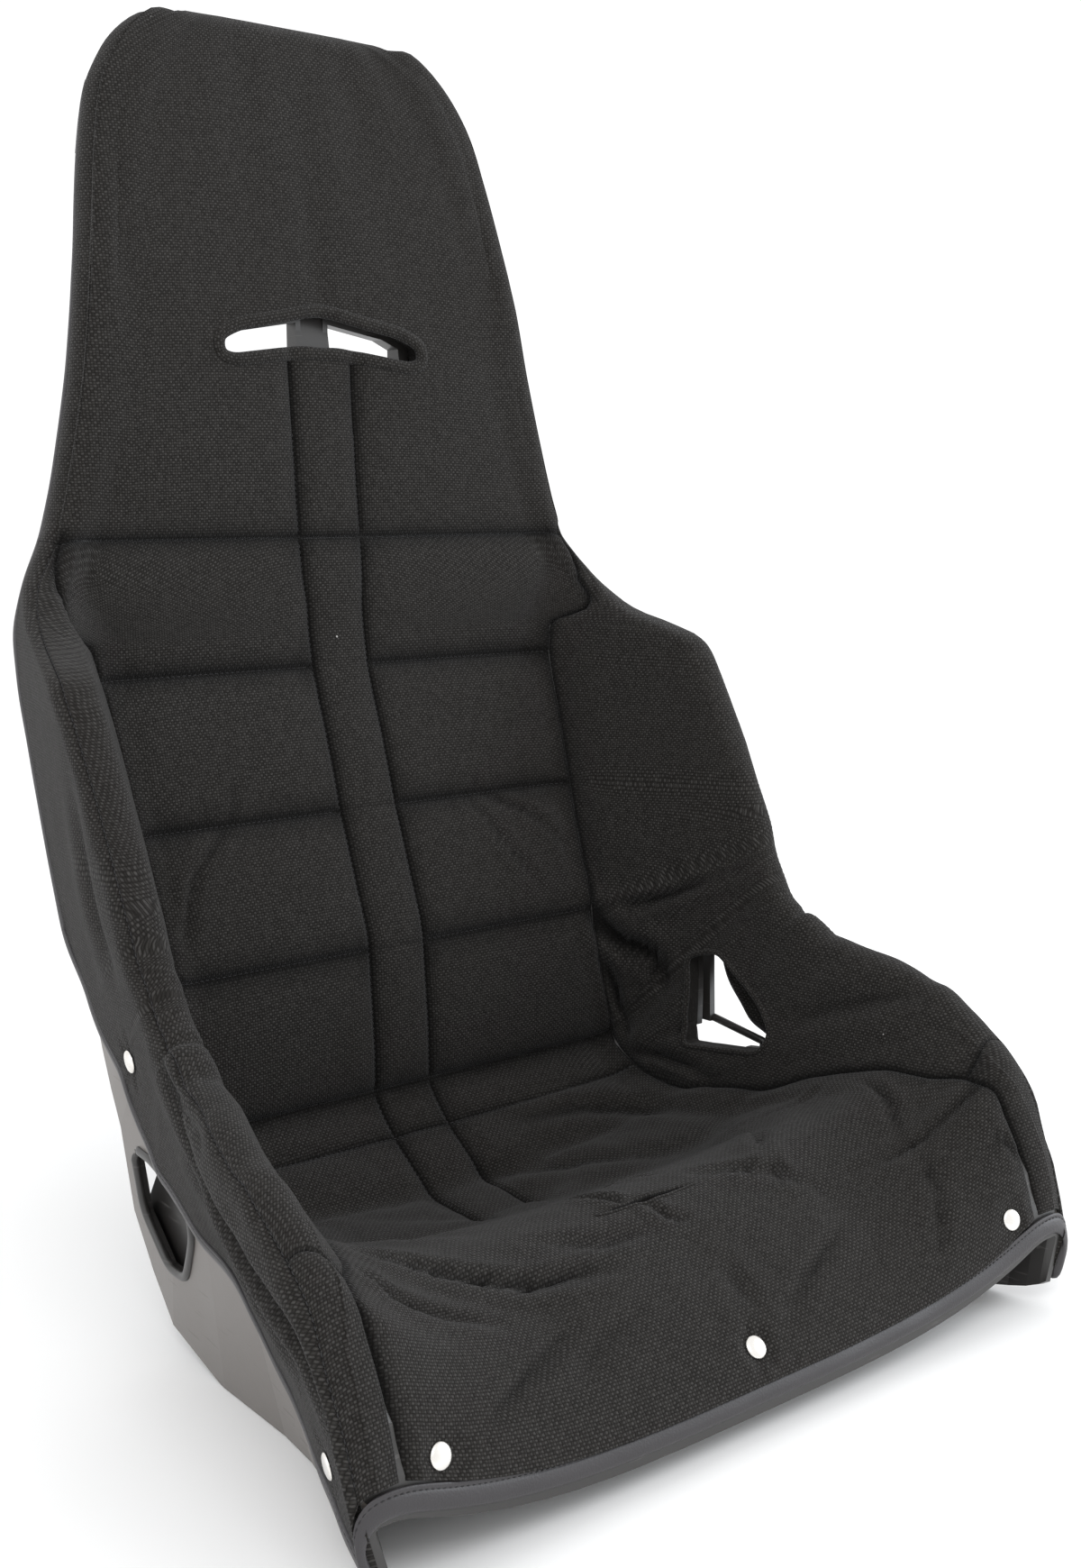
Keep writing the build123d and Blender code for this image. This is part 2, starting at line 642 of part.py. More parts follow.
with BuildPart() as snap_studs:
    for plane, squeeze in SNAPS:
        seat = -STUD_FLANGE[0] * squeeze
        tip = -(SOCKET[1] + 0.2) * squeeze
        extrude(disc(plane.offset(seat), SNAP_STUD_R), amount=(STUD_FLANGE[0] - STUD_FLANGE[1]) * squeeze)
        extrude(disc(plane.offset(seat - SHANK_LENGTH), SNAP_SHANK_R), amount=SHANK_LENGTH + tip - seat)
finish("snap_studs", snap_studs.part)
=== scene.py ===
"""Looks of a racing bucket seat: padded fabric cover, edge bindings, hood, moulded shell and snap fasteners.

Metres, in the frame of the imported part: the seat faces -Y, +X is its right-hand rim, +Z is up.
The cover is one grid of points.  Its rows follow the stations of the CAD surface and its
columns the sewn seams, so each panel of the cover is a block of the grid.
"""

import json
import math

import bpy
import numpy as np
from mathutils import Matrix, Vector

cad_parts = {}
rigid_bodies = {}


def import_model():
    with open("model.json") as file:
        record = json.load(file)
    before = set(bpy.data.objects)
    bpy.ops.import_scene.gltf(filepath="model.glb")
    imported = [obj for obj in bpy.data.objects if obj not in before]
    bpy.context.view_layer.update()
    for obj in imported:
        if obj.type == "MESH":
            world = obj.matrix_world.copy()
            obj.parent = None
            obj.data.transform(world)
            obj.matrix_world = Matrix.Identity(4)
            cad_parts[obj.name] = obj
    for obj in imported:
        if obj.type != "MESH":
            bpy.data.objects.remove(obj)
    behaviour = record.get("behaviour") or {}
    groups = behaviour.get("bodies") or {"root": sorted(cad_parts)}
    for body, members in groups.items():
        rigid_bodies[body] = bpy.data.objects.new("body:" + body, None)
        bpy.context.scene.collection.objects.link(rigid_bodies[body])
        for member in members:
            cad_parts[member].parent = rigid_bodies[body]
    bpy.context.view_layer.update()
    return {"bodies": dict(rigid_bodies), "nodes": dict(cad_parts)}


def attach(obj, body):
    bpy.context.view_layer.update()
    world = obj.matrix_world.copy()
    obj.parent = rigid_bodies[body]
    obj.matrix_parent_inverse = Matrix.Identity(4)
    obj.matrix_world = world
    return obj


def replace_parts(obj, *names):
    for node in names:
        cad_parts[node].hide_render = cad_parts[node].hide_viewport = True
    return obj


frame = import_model()
BODY = next(iter(frame["bodies"]))

# ---- The CAD part's surface, which this file repeats ----------------------------------------
MM = 0.001
UNIT = 0.838 / 814          # metres for each unit of the station list
BOLTS_Y = 142               # the list's own y of the base bolts' centre
RIM_RADIUS = 0.0135
SEAM_BLEND = 0.026
PANEL_POWER = 3.5
Y, Z, TILT, SEAM_X, SEAM_S, RIM_X, RIM_S, EDGE_X, EDGE_S, SKIRT = range(10)
STATIONS = np.array([
    (-14, 21, 0, 236, 26, 260, 22, 256, -8, 1.00),
    (-8, 34, 0, 236, 36, 261, 31, 254, -24, 0.92),
    (0, 45, 0, 236, 48, 262, 43, 252, -38, 0.84),
    (12, 55, 0, 236, 60, 263, 57, 250, -51, 0.78),
    (24, 63, 0, 236, 69, 263, 73, 246, -61, 0.75),
    (43, 74, 0, 231, 62, 264, 80, 238, -76, 0.72),
    (65, 90, 0, 222, 42, 264, 78, 228, -93, 0.66),
    (88, 100, 0, 217, 31, 263, 79, 220, -103, 0.60),
    (118, 90, 0, 211, 34, 259, 99, 213, -93, 0.52),
    (150, 71, 0, 205, 42, 250, 125, 210, -74, 0.46),
    (205, 50, 12.4, 196, 46, 246, 155, 210, -54, 0.42),
    (262, 50, 24.1, 190, 36, 244, 176, 210, -40, 0.40),
    (286, 62, 29.7, 187, 22, 243, 178, 212, -24, 0.41),
    (310, 79, 35.9, 186, 9, 243, 178, 216, -4, 0.44),
    (331, 104, 42.7, 187, 0, 243, 175, 226, 38, 0.54),
    (332, 136, 48.0, 180, 0, 243, 155, 228, 27, 0.62),
    (334, 168, 54.3, 174, 0, 244, 137, 229, 17, 0.74),
    (336, 200, 61.7, 170, 0, 245, 124, 230, 10, 0.86),
    (352, 245, 76, 172, 0, 246, 124, 229, -2, 1.00),
    (368, 290, 90, 175, 0, 246, 128, 228, -6, 1.00),
    (381, 328, 90, 178, 0, 246, 122, 228, -6, 1.00),
    (400, 384, 90, 181, 0, 247, 107, 228, -4, 1.00),
    (402, 396, 90, 183, 0, 245, 97, 228, -4, 1.00),
    (404, 406, 90, 185, 0, 238, 72, 227, -6, 1.00),
    (405, 414, 90, 186, 0, 231, 48, 226, -8, 1.00),
    (406, 426, 90, 187, 0, 225, 28, 222, -12, 1.00),
    (408, 444, 90, 186, 0, 216, 11, 214, -15, 1.00),
    (410, 470, 90, 174, 0, 200, 3, 200, -20, 1.00),
    (413, 492, 90, 165, 1, 192, 2, 192, -21, 1.00),
    (420, 580, 90, 145, 2, 172, 3, 172, -20, 1.00),
    (430, 640, 90, 136, 4, 163, 7, 163, -16, 1.00),
    (441, 710, 90, 124, 3, 151, 4, 151, -19, 1.00),
    (447, 748, 90, 115, 2, 142, 3, 142, -20, 1.00),
    (452, 779, 90, 98, 1, 125, 2, 125, -21, 1.00),
    (455, 796, 90, 81, 0, 108, 1, 108, -22, 1.00),
    (457, 809, 90, 58, 0, 86, 0, 86, -23, 1.00),
])
LAST = len(STATIONS) - 1
U_BLEND, U_SEAM, U_BOLSTER, U_RIM, U_CREST, U_WALL, U_EDGE = 0.75, 1.0, 1.2, 1.7, 2.0, 2.2, 3.0
CREST_ANGLE = math.radians(45)

# Stations of the seams that run across the seat.
V_HEM, V_CORNER, V_CROSS, V_CREASE, V_ROW4, V_ROW3, V_ROW2, V_ROW1 = 0.6, 5, 13, 14, 17, 19, 21, 27


def monotone(values, t):
    """Smooth curves through the rows of values, taken at t, that never overshoot them."""
    i = np.clip(t.astype(int), 0, len(values) - 2)
    f = (t - i)[:, None]
    slopes = np.diff(values, axis=0)
    left, right = slopes[:-1], slopes[1:]
    total = np.where(left + right == 0, 1, left + right)
    inner = np.where(left * right > 0, 2 * left * right / total, 0)
    tangents = np.vstack([slopes[:1], inner, slopes[-1:]])
    return (values[i] * (1 + 2 * f) * (1 - f) ** 2 + tangents[i] * f * (1 - f) ** 2
            + values[i + 1] * f * f * (3 - 2 * f) + tangents[i + 1] * f * f * (f - 1))


def stations(v):
    """One row for each v: the station's sizes in metres, its tilt in radians and its skirt share."""
    found = monotone(STATIONS, np.atleast_1d(np.asarray(v, float)))
    found[:, Y] -= BOLTS_Y
    found[:, [Y, Z, SEAM_X, SEAM_S, RIM_X, RIM_S, EDGE_X, EDGE_S]] *= UNIT
    found[:, TILT] = np.radians(found[:, TILT])
    return found


def outline(st, u, depth):
    """(x, rise) on the half section of each station, the given depth under the fabric."""
    column = [st[:, k:k + 1] for k in range(10)]
    seam_x, seam_s, edge_x, edge_s = column[SEAM_X], column[SEAM_S], column[EDGE_X], column[EDGE_S]
    lean = RIM_RADIUS * math.cos(CREST_ANGLE)
    cx, cs = column[RIM_X] - lean, column[RIM_S] - lean

    def touch(x, s, side):
        reach = np.hypot(x - cx, s - cs)
        return np.arctan2(s - cs, x - cx) + side * np.arccos(np.clip(RIM_RADIUS / reach, -1, 1))

    def on_rim(angle):
        return cx + RIM_RADIUS * np.cos(angle), cs + RIM_RADIUS * np.sin(angle)

    def panel(x):
        ratio = x / seam_x
        return seam_s * ratio ** PANEL_POWER, PANEL_POWER * seam_s * ratio ** (PANEL_POWER - 1) / seam_x

    arrive = touch(seam_x, seam_s, -1) % math.tau
    leave = touch(edge_x, edge_s, 1)
    tx, ts = on_rim(arrive)
    rx, rs = on_rim(leave)
    bolster = np.hypot(tx - seam_x, ts - seam_s)
    blend = np.minimum(SEAM_BLEND, 0.8 * bolster)
    bx = seam_x + (tx - seam_x) * blend / bolster
    bs = seam_s + (ts - seam_s) * blend / bolster
    px = seam_x - blend
    x1 = px * np.minimum(u, U_BLEND) / U_BLEND
    s1, slope1 = panel(x1)
    t = 0.5 + (u - U_SEAM) * np.where(u <= U_SEAM, 0.5 / (U_SEAM - U_BLEND), 0.5 / (U_BOLSTER - U_SEAM))
    ax, as_ = px + (seam_x - px) * t, panel(px)[0] + (seam_s - panel(px)[0]) * t
    ex, es = seam_x + (bx - seam_x) * t, seam_s + (bs - seam_s) * t
    f3 = (u - U_BOLSTER) / (U_RIM - U_BOLSTER)
    rising = arrive + (CREST_ANGLE - arrive) * (u - U_RIM) / (U_CREST - U_RIM)
    falling = CREST_ANGLE + (leave - CREST_ANGLE) * (u - U_CREST) / (U_WALL - U_CREST)
    angle = np.where(u <= U_CREST, rising, falling)
    x4, s4 = on_rim(angle)
    f5 = (u - U_WALL) / (U_EDGE - U_WALL)
    where = [u <= U_BLEND, u <= U_BOLSTER, u <= U_RIM, u <= U_WALL]
    x = np.select(where, [x1, ax + (ex - ax) * t, bx + (tx - bx) * f3, x4], rx + (edge_x - rx) * f5)
    s = np.select(where, [s1, as_ + (es - as_) * t, bs + (ts - bs) * f3, s4], rs + (edge_s - rs) * f5)
    turn = np.select(where, [np.arctan(slope1), np.arctan2(es - as_, ex - ax),
                             np.arctan2(ts - seam_s, tx - seam_x) + 0 * u, angle - math.pi / 2],
                     np.arctan2(edge_s - rs, edge_x - rx))
    return x + depth * np.sin(turn), s - depth * np.cos(turn)


def surface(u, v, depth=0.0):
    """Points of the cover's outside: u is one row of signed values for each v."""
    st = stations(v)
    x, rise = outline(st, np.abs(u), depth)
    tilt = st[:, TILT:TILT + 1]
    return np.stack([np.where(u < 0, -x, x), st[:, Y:Y + 1] - rise * np.sin(tilt),
                     st[:, Z:Z + 1] + rise * np.cos(tilt)], axis=-1)


def smooth_step(x, low, high):
    """0 up to low and 1 from high on, with a smooth rise between them."""
    t = np.clip((x - low) / (high - low), 0, 1)
    return t * t * (3 - 2 * t)


def unit(vectors):
    """The same directions, each one long."""
    return vectors / np.linalg.norm(vectors, axis=-1, keepdims=True)


def length_along(path):
    """How far along a path each of its points lies."""
    return np.r_[0, np.cumsum(np.linalg.norm(np.diff(path, axis=0), axis=1))]


# ---- The cover's grid ------------------------------------------------------------------------
# Columns: 0 centre, 1 edge of the centre strip, 2 seam between panel and bolster, 3 seam on the
# rim's crest, 4 hem.  Negative on the left.
STRIP_HALF = 22 * UNIT
HEM_COVERED = 0.0095        # how much of the outer wall the front binding covers
V_NARROWER = (3.5, 8.0)     # the binding grows narrower between these stations
FINE, COARSE, GROWTH = 0.0011, 0.0044, 0.22     # steps beside a seam and away from it, and their growth


def seam_u(v):
    """Where the seam between panel and bolster runs: it climbs to the rim at the shoulder."""
    return U_SEAM + 0.93 * (U_CREST - U_SEAM) * smooth_step(np.asarray(v, float), 22.6, V_ROW1)


def hem_u(v, covered):
    """u on the outer wall, that far from the hem."""
    st = stations(v)
    ends = [np.stack(outline(st, np.full((len(st), 1), u), 0.0), -1)[:, 0] for u in (U_WALL, U_EDGE)]
    wall = np.linalg.norm(ends[1] - ends[0], axis=1)
    return U_WALL + (U_EDGE - U_WALL) * (st[:, SKIRT] - covered / wall)


def column_u(c, v):
    """u for each pair of a column and a station, as one row for each station."""
    v = np.atleast_1d(np.asarray(v, float))
    st = stations(v)
    seam_x = st[:, SEAM_X]
    strip = U_BLEND * STRIP_HALF / (seam_x - SEAM_BLEND)
    covered = HEM_COVERED * (1 - 0.55 * smooth_step(v, *V_NARROWER)) * (1 - smooth_step(v, 31.9, 32.4))
    knots = np.stack([0 * v, strip, seam_u(v), np.full(len(v), U_CREST), hem_u(v, covered)], axis=1)
    size = np.abs(c)
    return np.array([np.copysign(np.interp(size, range(5), row), c) for row in knots])


def spread(length, fine_start=True, fine_end=True, coarse=COARSE, fine=FINE):
    """Shares from 0 to 1 whose steps are fine beside a seam and coarse away from it."""
    places = [0.0]
    while places[-1] < length:
        near = min(places[-1] if fine_start else length, length - places[-1] if fine_end else length)
        places.append(places[-1] + min(coarse, fine + GROWTH * max(near, 0)))
    kept = -1 if length - places[-2] > fine / 2 else -2
    return np.array(places[:kept] + [length]) / length


def joined(knots, lengths, **steps):
    """A rising list of values that has every knot, and the index of each knot in it."""
    values, index = [float(knots[0])], [0]
    for a, b, length in zip(knots, knots[1:], lengths):
        values += list(a + (b - a) * spread(length, **steps)[1:])
        index.append(len(values) - 1)
    return np.array(values), index


def centre_length(v):
    """Length along the centre line from the hem to v."""
    fine = np.linspace(0, LAST, 1400)
    length = length_along(surface(np.zeros((len(fine), 1)), fine)[:, 0])
    return np.interp(v, fine, length), (fine, length)


ROW_KNOTS = [V_HEM, V_CORNER, V_CROSS, V_CREASE, V_ROW4, V_ROW3, V_ROW2, V_ROW1, LAST]
COLUMN_WIDTHS = [0.0226, 0.155, 0.150, 0.190]   # about how wide the cloth is between the columns' seams


def make_grid(fine, coarse):
    """Row and column values of a grid over the whole cover, with the index of each knot."""
    lengths, (fine_v, fine_length) = centre_length(ROW_KNOTS)
    rows, row_index = joined(lengths, np.diff(lengths), fine=fine, coarse=coarse)
    half, half_index = joined(range(5), COLUMN_WIDTHS, fine=fine, coarse=coarse)
    columns = np.r_[-half[:0:-1], half]
    middle = len(half) - 1
    column_index = {k: middle + n for k, n in enumerate(half_index)}
    column_index.update({-k: middle - n for k, n in enumerate(half_index)})
    return np.interp(rows, fine_length, fine_v), row_index, columns, column_index


def across_and_along(points):
    """Signed length across from the centre line, and length along each column from row one."""
    step = np.linalg.norm(np.diff(points, axis=1), axis=2)
    across = np.concatenate([np.zeros((len(points), 1)), np.cumsum(step, axis=1)], axis=1)
    across -= across[:, [points.shape[1] // 2]]
    step = np.linalg.norm(np.diff(points, axis=0), axis=2)
    along = np.concatenate([np.zeros((1, points.shape[1])), np.cumsum(step, axis=0)], axis=0)
    return across, along


def normals(points):
    """The outward direction at each point of a grid."""
    across = np.gradient(points, axis=1)
    along = np.gradient(points, axis=0)
    found = np.cross(across, along)
    return found / np.maximum(np.linalg.norm(found, axis=2, keepdims=True), 1e-12)


def waves(x, y, size, seed):
    """Smooth random field from -1 to 1 whose bumps are about size metres apart."""
    cells = 4096
    table = np.random.default_rng(seed).uniform(-1, 1, cells)
    xs, ys = x / size + 1000, y / size + 1000
    ix, iy = np.floor(xs).astype(int), np.floor(ys).astype(int)
    fx, fy = xs - ix, ys - iy
    fx, fy = fx * fx * (3 - 2 * fx), fy * fy * (3 - 2 * fy)

    def corner(a, b):
        return table[((ix + a) * 73 + (iy + b) * 1931) % cells]

    low = corner(0, 0) * (1 - fx) + corner(1, 0) * fx
    high = corner(0, 1) * (1 - fx) + corner(1, 1) * fx
    return low * (1 - fy) + high * fy


# ---- Seams, folds and padding of the cover ----------------------------------------------------
PAD_DEPTH = 0.0064          # back of the foam, under the fabric's surface
PILLOW = 0.0046             # how far a panel stands up between its seams
PUCKER = 0.0009             # gathers beside the stitches
BASE_SINK = 0.0022          # the stitched lines lie this much under the CAD surface

# Seams across the seat: row, innermost and outermost column, depth share, half-width of the
# groove and reach of the padding's fall towards it, in mm.
CROSS_SEAMS = [
    (V_ROW1, 0, 3, 0.9, 2.4, 11), (V_ROW2, 1, 2, 1.0, 2.6, 12), (V_ROW3, 1, 2, 1.0, 2.8, 13),
    (V_ROW3, 0, 1, 0.25, 1.6, 7), (V_ROW4, 1, 2, 1.0, 2.8, 14), (V_ROW4, 0, 1, 0.25, 1.6, 7),
    (V_CREASE, 0, 2, 1.0, 2.4, 12), (V_CROSS, 0, 2, 0.7, 1.7, 9), (V_CORNER, 2, 3, 0.7, 1.5, 6),
]
# Seams along the seat: column, first and last station, then the same three.
LONG_SEAMS = [
    (1, 10.2, 29.0, 0.85, 1.7, 8), (2, V_HEM, V_ROW1, 0.9, 1.9, 9), (3, V_HEM, V_ROW1, 0.30, 1.1, 3.5),
]
STITCH_DEPTH = 0.0026       # groove along the stitches
FOLD_STRENGTH = 2.1         # how much deeper the folds are pressed than their listed depth
# Folds of the cloth, each a few points on the cover as (column, station), then half-width in mm
# and depth in mm.  A negative column is on the left.
FOLDS = [
    # right hip: hollow beside the back, and the dart's end
    ([(2.00, 16.9), (2.15, 16.0), (2.30, 15.0), (2.34, 13.8)], 6.5, 5.0),
    ([(1.98, 16.9), (2.30, 16.6), (2.65, 15.9)], 3.5, 2.6),
    ([(2.02, 15.9), (2.10, 14.6), (2.10, 13.5)], 4.0, 3.0),
    ([(-2.00, 16.9), (-2.15, 16.0), (-2.30, 15.0), (-2.34, 13.8)], 6.0, 3.5),
    ([(-2.00, 17.0), (-2.3, 16.7), (-2.6, 16.3)], 3.5, 2.2),
    # back, right and left
    ([(1.42, 18.95), (1.62, 18.55), (1.84, 18.0)], 3.0, 1.5),
    ([(1.34, 18.9), (1.46, 18.2), (1.66, 17.2)], 2.8, 1.6),
    ([(1.36, 19.7), (1.38, 19.1)], 2.4, 0.8),
    ([(-1.50, 18.9), (-1.68, 18.3), (-1.82, 17.6)], 3.4, 1.7),
    ([(-1.42, 19.9), (-1.46, 19.1)], 3.0, 0.9),
    # right bolster under the belt opening, and along its foot
    ([(2.06, 13.3), (2.16, 12.2), (2.05, 10.6)], 4.0, 2.6),
    ([(2.20, 12.9), (2.34, 11.9), (2.30, 11.0)], 3.4, 2.0),
    ([(2.35, 9.9), (2.45, 8.4), (2.75, 7.0)], 7.0, 1.6),
    # pan
    ([(1.20, 12.5), (1.50, 12.3), (1.70, 11.2), (1.72, 10.2)], 7.0, 2.2),
    ([(0.85, 11.6), (1.25, 10.6), (1.62, 9.6)], 8.0, 1.8),
    ([(1.66, 9.7), (1.42, 7.8), (1.30, 6.5), (1.36, 5.4)], 3.2, 2.6),
    ([(1.86, 7.4), (1.72, 6.4), (1.60, 5.3)], 3.0, 2.2),
    ([(1.98, 4.6), (1.78, 4.7), (1.60, 5.1), (1.45, 5.6)], 3.0, 2.0),
    ([(1.55, 9.3), (1.68, 8.7), (1.84, 8.4)], 3.0, 1.2),
    ([(1.10, 7.4), (1.24, 6.8), (1.30, 6.0)], 3.6, 2.0),
    ([(0.12, 8.3), (0.60, 8.4), (1.05, 7.9)], 4.0, 1.8),
    ([(-1.04, 8.2), (-0.90, 7.5), (-0.60, 7.1)], 3.2, 2.2),
    ([(-0.30, 7.1), (0.10, 6.3), (0.55, 6.1)], 3.0, 1.6),
    ([(-1.80, 7.0), (-1.55, 6.2), (-1.32, 5.7), (-1.12, 5.6)], 4.0, 3.0),
    ([(-1.90, 5.8), (-1.70, 5.1), (-1.45, 4.9)], 3.4, 2.2),
    ([(-1.28, 6.8), (-1.10, 6.2), (-0.80, 6.2)], 4.0, 1.6),
    # apron
    ([(-1.28, 4.7), (-1.42, 3.5), (-1.58, 2.0)], 3.6, 2.0),
    ([(-1.05, 4.6), (-1.25, 3.8), (-1.36, 2.6)], 5.0, 1.2),
    ([(1.30, 4.5), (1.16, 3.8), (1.02, 2.6)], 4.0, 1.8),
    ([(1.60, 4.9), (1.54, 3.4), (1.47, 1.8)], 3.2, 2.0),
    ([(1.68, 3.7), (1.80, 2.9), (1.92, 2.3)], 3.0, 1.4),
    ([(0.55, 4.8), (0.42, 3.2)], 6.0, 1.0),
    # left outer panel: long folds beside the rim, from the snap at the hip to the front
    ([(-3.34, 11.3), (-3.42, 9.4), (-3.46, 7.8), (-3.44, 6.2), (-3.38, 4.6), (-3.30, 2.6)], 5.0, 4.2),
    ([(-3.62, 9.6), (-3.66, 8.0), (-3.64, 6.4), (-3.56, 4.8)], 6.0, 2.4),
    ([(-3.20, 11.6), (-3.22, 9.8), (-3.24, 8.2)], 4.0, 2.0),
    ([(3.34, 11.0), (3.44, 9.0), (3.46, 7.2), (3.40, 5.0), (3.30, 2.8)], 5.0, 3.4),
    ([(3.62, 9.4), (3.66, 7.6), (3.60, 5.4)], 6.0, 2.0),
    ([(-3.30, 20.2), (-3.42, 18.4), (-3.40, 16.6)], 8.0, 1.6),
    ([(3.30, 20.0), (3.42, 18.2), (3.40, 16.4)], 8.0, 1.6),
]


def span_share(values, low, high, soft):
    """1 between low and high, and falling to 0 over the distance soft beyond them."""
    return smooth_step(values, low - soft, low) * (1 - smooth_step(values, high, high + soft))


def gathers(length, seed, size=0.0085):
    """Random height along a seam, from -1 to 1."""
    level = np.zeros_like(length)
    return waves(length, level, size, seed) * 0.65 + waves(length, level, size * 0.45, seed + 1) * 0.35


def seam_relief(rows, row_index, columns, column_index, points):
    """Height over the CAD surface from padding, stitched grooves and the gathers beside them."""
    across, along = across_and_along(points)
    size = np.abs(columns)[None, :]
    station_of = rows[:, None]
    row_of = dict(zip(ROW_KNOTS, row_index))
    fill = np.ones_like(across)
    groove = np.zeros_like(across)
    ruffle = np.zeros_like(across)
    seed = 10
    seams = []
    for v, inner, outer, *shape in CROSS_SEAMS:
        distance = np.abs(along - along[row_of[v]])
        here = span_share(size, inner, outer, 0.03) + 0 * distance
        seams.append((distance, here, np.broadcast_to(across[row_of[v]], across.shape), *shape))
    for c, first, last, *shape in LONG_SEAMS:
        for side in (-1, 1):
            j = column_index[side * c]
            distance = np.abs(across - across[:, [j]])
            here = span_share(station_of, first, last, 0.5) + 0 * distance
            seams.append((distance, here, np.broadcast_to(along[:, [j]], along.shape), *shape))
    for distance, here, length, depth, half_width, reach in seams:
        share = here * depth
        fill *= 1 - 0.88 * share * np.exp(-(distance / (reach * MM)) ** 1.3)
        groove = np.maximum(groove, share * np.exp(-(distance / (half_width * MM)) ** 2))
        seed += 2
        near = np.exp(-distance / 0.009) * (1 - np.exp(-(distance / 0.0025) ** 2) * 0.6)
        ruffle += share ** 1.5 * near * gathers(length, seed)
    flat = 1 - 0.52 * smooth_step(size, 2.5, 2.9)
    level = PILLOW * flat - BASE_SINK + 0 * fill
    return PILLOW * fill * flat - STITCH_DEPTH * groove + PUCKER * ruffle * flat - BASE_SINK, level


def fold_relief(points, folds):
    """Height from the folds: a valley with a soft ridge on both sides, fading at its ends."""
    height = np.zeros(points.shape[:2])
    for places, half_width, depth in folds:
        knots = np.array([surface(column_u([c], [v]), v)[0, 0] for c, v in places])
        t = np.linspace(0, len(knots) - 1, 8 * len(knots))
        path = monotone(knots, t)
        low, high = path.min(0) - 0.03, path.max(0) + 0.03
        near = np.nonzero(((points > low) & (points < high)).all(2))
        gap = points[near][:, None, :] - path[None]
        distance = np.linalg.norm(gap, axis=2)
        closest = distance.argmin(1)
        fade = np.sin(np.pi * (closest + 0.5) / len(path)) ** 0.6
        width = half_width * MM
        d = distance.min(1)
        shape = -np.exp(-(d / width) ** 2) + 0.45 * np.exp(-((d - 2.3 * width) / (1.3 * width)) ** 2)
        height[near] += FOLD_STRENGTH * depth * MM * fade * shape
    return height


# ---- Cloth simulation of the whole cover ------------------------------------------------------
SIM_FINE, SIM_COARSE = 0.0055, 0.0085
SIM_FRAMES = 16
SIM_OUT, SIM_IN, SIM_ASIDE = 0.0075, 0.0030, 0.003  # how far the cloth may come to lie out, in and aside


def slack_map(rows, columns):
    """How loose the cover is: 0 pulled smooth, 1 baggy.  It is baggiest round the hips and the front."""
    size = np.abs(columns)[None, :]
    v = rows[:, None]
    low = 1 - smooth_step(v, 12.0, 18.5)
    slack = 0.06 + 0.80 * low
    slack = slack + 0.20 * span_share(v, 16.5, 19.0, 2.0) * smooth_step(size, 0.9, 1.4)
    near_rim = np.exp(-((size - 3) / 0.45) ** 2)
    return np.clip(slack * (1 - 0.85 * near_rim) * (1 - 0.4 * smooth_step(size, 2.0, 2.4)), 0, 1)


def simulate(rows, row_index, columns, column_index, points):
    """Blows the cover up between its seams with a little spare cloth; returns each point's shift."""
    m, n = points.shape[:2]
    size = np.abs(columns)[None, :]
    v = rows[:, None]
    pinned = np.zeros((m, n), bool)
    row_of = dict(zip(ROW_KNOTS, row_index))
    for station_at, inner, outer, share, _, _ in CROSS_SEAMS:
        if share > 0.5:
            pinned[row_of[station_at]] |= (size[0] >= inner) & (size[0] <= outer)
    for c, first, last, *_ in LONG_SEAMS:
        for side in (-1, 1):
            pinned[:, column_index[side * c]] |= (rows >= first) & (rows <= last)
    pinned[[0, -1]] = True
    pinned[:, [0, -1]] = True
    pinned |= (v > V_ROW1) & (size > 2.6)
    faces = grid_faces(m, n)
    mesh = bpy.data.meshes.new("cloth")
    mesh.from_pydata(points.reshape(-1, 3).tolist(), [], faces.tolist())
    cloth = linked("cloth", mesh)
    pins = cloth.vertex_groups.new(name="pins")
    pins.add(np.nonzero(pinned.ravel())[0].tolist(), 1.0, "REPLACE")
    loose = cloth.vertex_groups.new(name="loose")
    slack = (slack_map(rows, columns) + 0 * points[..., 0]).ravel()
    levels = np.round(slack, 1)
    for level in np.unique(levels):
        loose.add(np.nonzero(levels == level)[0].tolist(), float(level), "REPLACE")
    settings = cloth.modifiers.new("Cloth", "CLOTH").settings
    settings.quality = 6
    settings.mass = 0.25
    settings.tension_stiffness = settings.compression_stiffness = 18
    settings.shear_stiffness = 8
    settings.bending_stiffness = 1.2
    settings.air_damping = 2
    settings.vertex_group_mass = "pins"
    settings.pin_stiffness = 1
    settings.use_pressure = True
    settings.uniform_pressure_force = 3.0
    settings.vertex_group_shrink = "loose"
    settings.shrink_min = 0.0
    settings.shrink_max = -0.035
    settings.effector_weights.gravity = 0
    cloth.modifiers["Cloth"].point_cache.frame_end = SIM_FRAMES
    for k in range(1, SIM_FRAMES + 1):
        bpy.context.scene.frame_set(k)
    result = cloth.evaluated_get(bpy.context.evaluated_depsgraph_get()).to_mesh()
    moved = np.empty(m * n * 3)
    result.vertices.foreach_get("co", moved)
    shift = moved.reshape(m, n, 3) - points
    bpy.data.objects.remove(cloth)
    bpy.context.scene.frame_set(1)
    normal = normals(points)
    out = (shift * normal).sum(2, keepdims=True)
    capped = np.where(out > 0, SIM_OUT * np.tanh(out / SIM_OUT), SIM_IN * np.tanh(out / SIM_IN))
    side = shift - out * normal
    length = np.linalg.norm(side, axis=2, keepdims=True)
    side *= np.minimum(1, SIM_ASIDE / np.maximum(length, 1e-9))
    taut = 1 - 0.88 * smooth_step(size, 2.05, 2.45)
    return (capped * normal + side) * taut[..., None]


